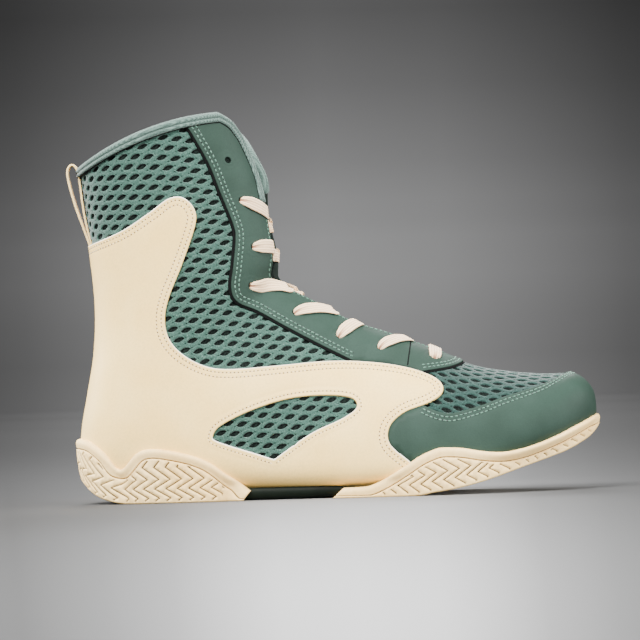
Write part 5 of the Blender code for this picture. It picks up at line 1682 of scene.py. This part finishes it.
WALL_SIDE_GREYS = ((0.0, 1.0), (0.353, 0.86), (0.647, 0.61), (0.882, 0.41), (1.0, 0.34))
FLOOR_SPAN, WALL_SPAN, SIDE_CHANGE, FRONT_CHANGE = (-1.35, 3.45), (0.0, 0.5), (0.0, 2.0), (-2.6, -1.35)
# The painted pool of light fans out from FAN_START metres in front of the shoe, which is where the camera
# stands
POOL_ASIDE, FAN_WIDTH, FAN_START = 0.002, 0.0627, 3.0
FAN_LEAST, FRONT_SIDE_GREY = 1.6, grey(0.5)   # nearer than the picture shows, it fades into an even floor
WORLD_COLOUR, WORLD_STRENGTH = (0.5, 0.5, 0.51, 1.0), 0.7
# Area lights: name, place, aim, size and power in watts
LIGHTS = (
    ("key_light", (-650.0, -1200.0, 1400.0), (0.0, 0.0, 80.0), 900.0, 142.0),
    ("fill_light", (900.0, -1500.0, 500.0), (0.0, 0.0, 90.0), 1000.0, 40.0),
    ("top_light", (0.0, 0.0, 1400.0), (0.0, 0.0, 0.0), 800.0, 24.0),
    ("back_light", (0.0, 2600.0, 2000.0), (0.0, 0.0, 80.0), 1200.0, 120.0),
    ("heel_rim_light", (-900.0, 350.0, 420.0), (-130.0, 0.0, 80.0), 400.0, 22.0),
    ("toe_rim_light", (1000.0, -100.0, 300.0), (120.0, 0.0, 60.0), 400.0, 15.0),
)


def studio_painted_light():
    """Pale floor with a painted pool of light, that falls off, painted too, into a grey backdrop and to the
    sides.
    """
    made = Finish("studio_painted_light", 0.9, specular=0.05)
    place = made.add("ShaderNodeSeparateXYZ", {"Vector": made.place}).outputs
    # Painted light: the pool falls off to the sides, by depth and by height
    spread = made.math("MAXIMUM", made.math("ADD", place["Y"], FAN_START), FAN_LEAST)
    fan = made.math("DIVIDE", place["X"], spread)
    pool = made.math("ABSOLUTE", made.math("SUBTRACT", fan, POOL_ASIDE))
    floor_side = made.greys(pool, 0.0, FAN_WIDTH, FLOOR_SIDE_GREYS)
    wall_side = made.greys(made.math("ABSOLUTE", fan), 0.0, FAN_WIDTH, WALL_SIDE_GREYS)
    side = made.mixed(made.scaled(place["Y"], *SIDE_CHANGE), floor_side, wall_side)
    side = made.mixed(made.scaled(place["Y"], *FRONT_CHANGE), FRONT_SIDE_GREY, side)
    deep = made.greys(place["Y"], *FLOOR_SPAN, FLOOR_GREYS)
    tall = made.greys(place["Z"], *WALL_SPAN, WALL_GREYS)
    return made.done(made.mixed(1.0, made.mixed(1.0, deep, tall, "MULTIPLY"), side, "MULTIPLY"))


def build_studio():
    """A floor that curves up into a backdrop, soft light from above and in front, and rims of light."""
    bend = [(FLOOR_DEPTH + BACKDROP_BEND * math.sin(t), BACKDROP_BEND * (1 - math.cos(t)))
            for t in np.linspace(0.05, HALF_TURN, 24)]
    level = [(y, 0.0) for y in (*FLOOR_FRONTS, FLOOR_DEPTH)]
    profile = [*level, *bend, (FLOOR_DEPTH + BACKDROP_BEND, BACKDROP_TOP)]
    points = [(x, y, z) for y, z in profile for x in FLOOR_SIDES]
    mesh = bpy.data.meshes.new("studio_floor")
    mesh.from_pydata((np.array(points) * MM).tolist(), [], grid_faces(len(profile), len(FLOOR_SIDES)))
    mesh.polygons.foreach_set("use_smooth", [True] * len(mesh.polygons))
    floor = bpy.data.objects.new("studio_floor", mesh)
    bpy.context.scene.collection.objects.link(floor)
    floor.data.materials.append(studio_painted_light())
    world = bpy.context.scene.world or bpy.data.worlds.new("studio_world")
    bpy.context.scene.world = world
    world.use_nodes = True
    world.node_tree.nodes["Background"].inputs["Color"].default_value = WORLD_COLOUR
    world.node_tree.nodes["Background"].inputs["Strength"].default_value = WORLD_STRENGTH
    for name, place, aim, size, power in LIGHTS:
        light = bpy.data.lights.new(name, "AREA")
        light.size = size * MM
        light.energy = power
        lamp = bpy.data.objects.new(name, light)
        lamp.location = Vector(place) * MM
        lamp.rotation_euler = (Vector(aim) - Vector(place)).to_track_quat("-Z", "Y").to_euler()
        bpy.context.scene.collection.objects.link(lamp)


build_camera()
build_studio()
build_saddle()
build_toe_cap()
build_eyestay()
build_knit()
build_lining()
build_sole()
build_arch()
build_binding()
build_laces()
build_tongue()
build_insole()
build_pull_loop()
build_raw_edges()
build_stitches()
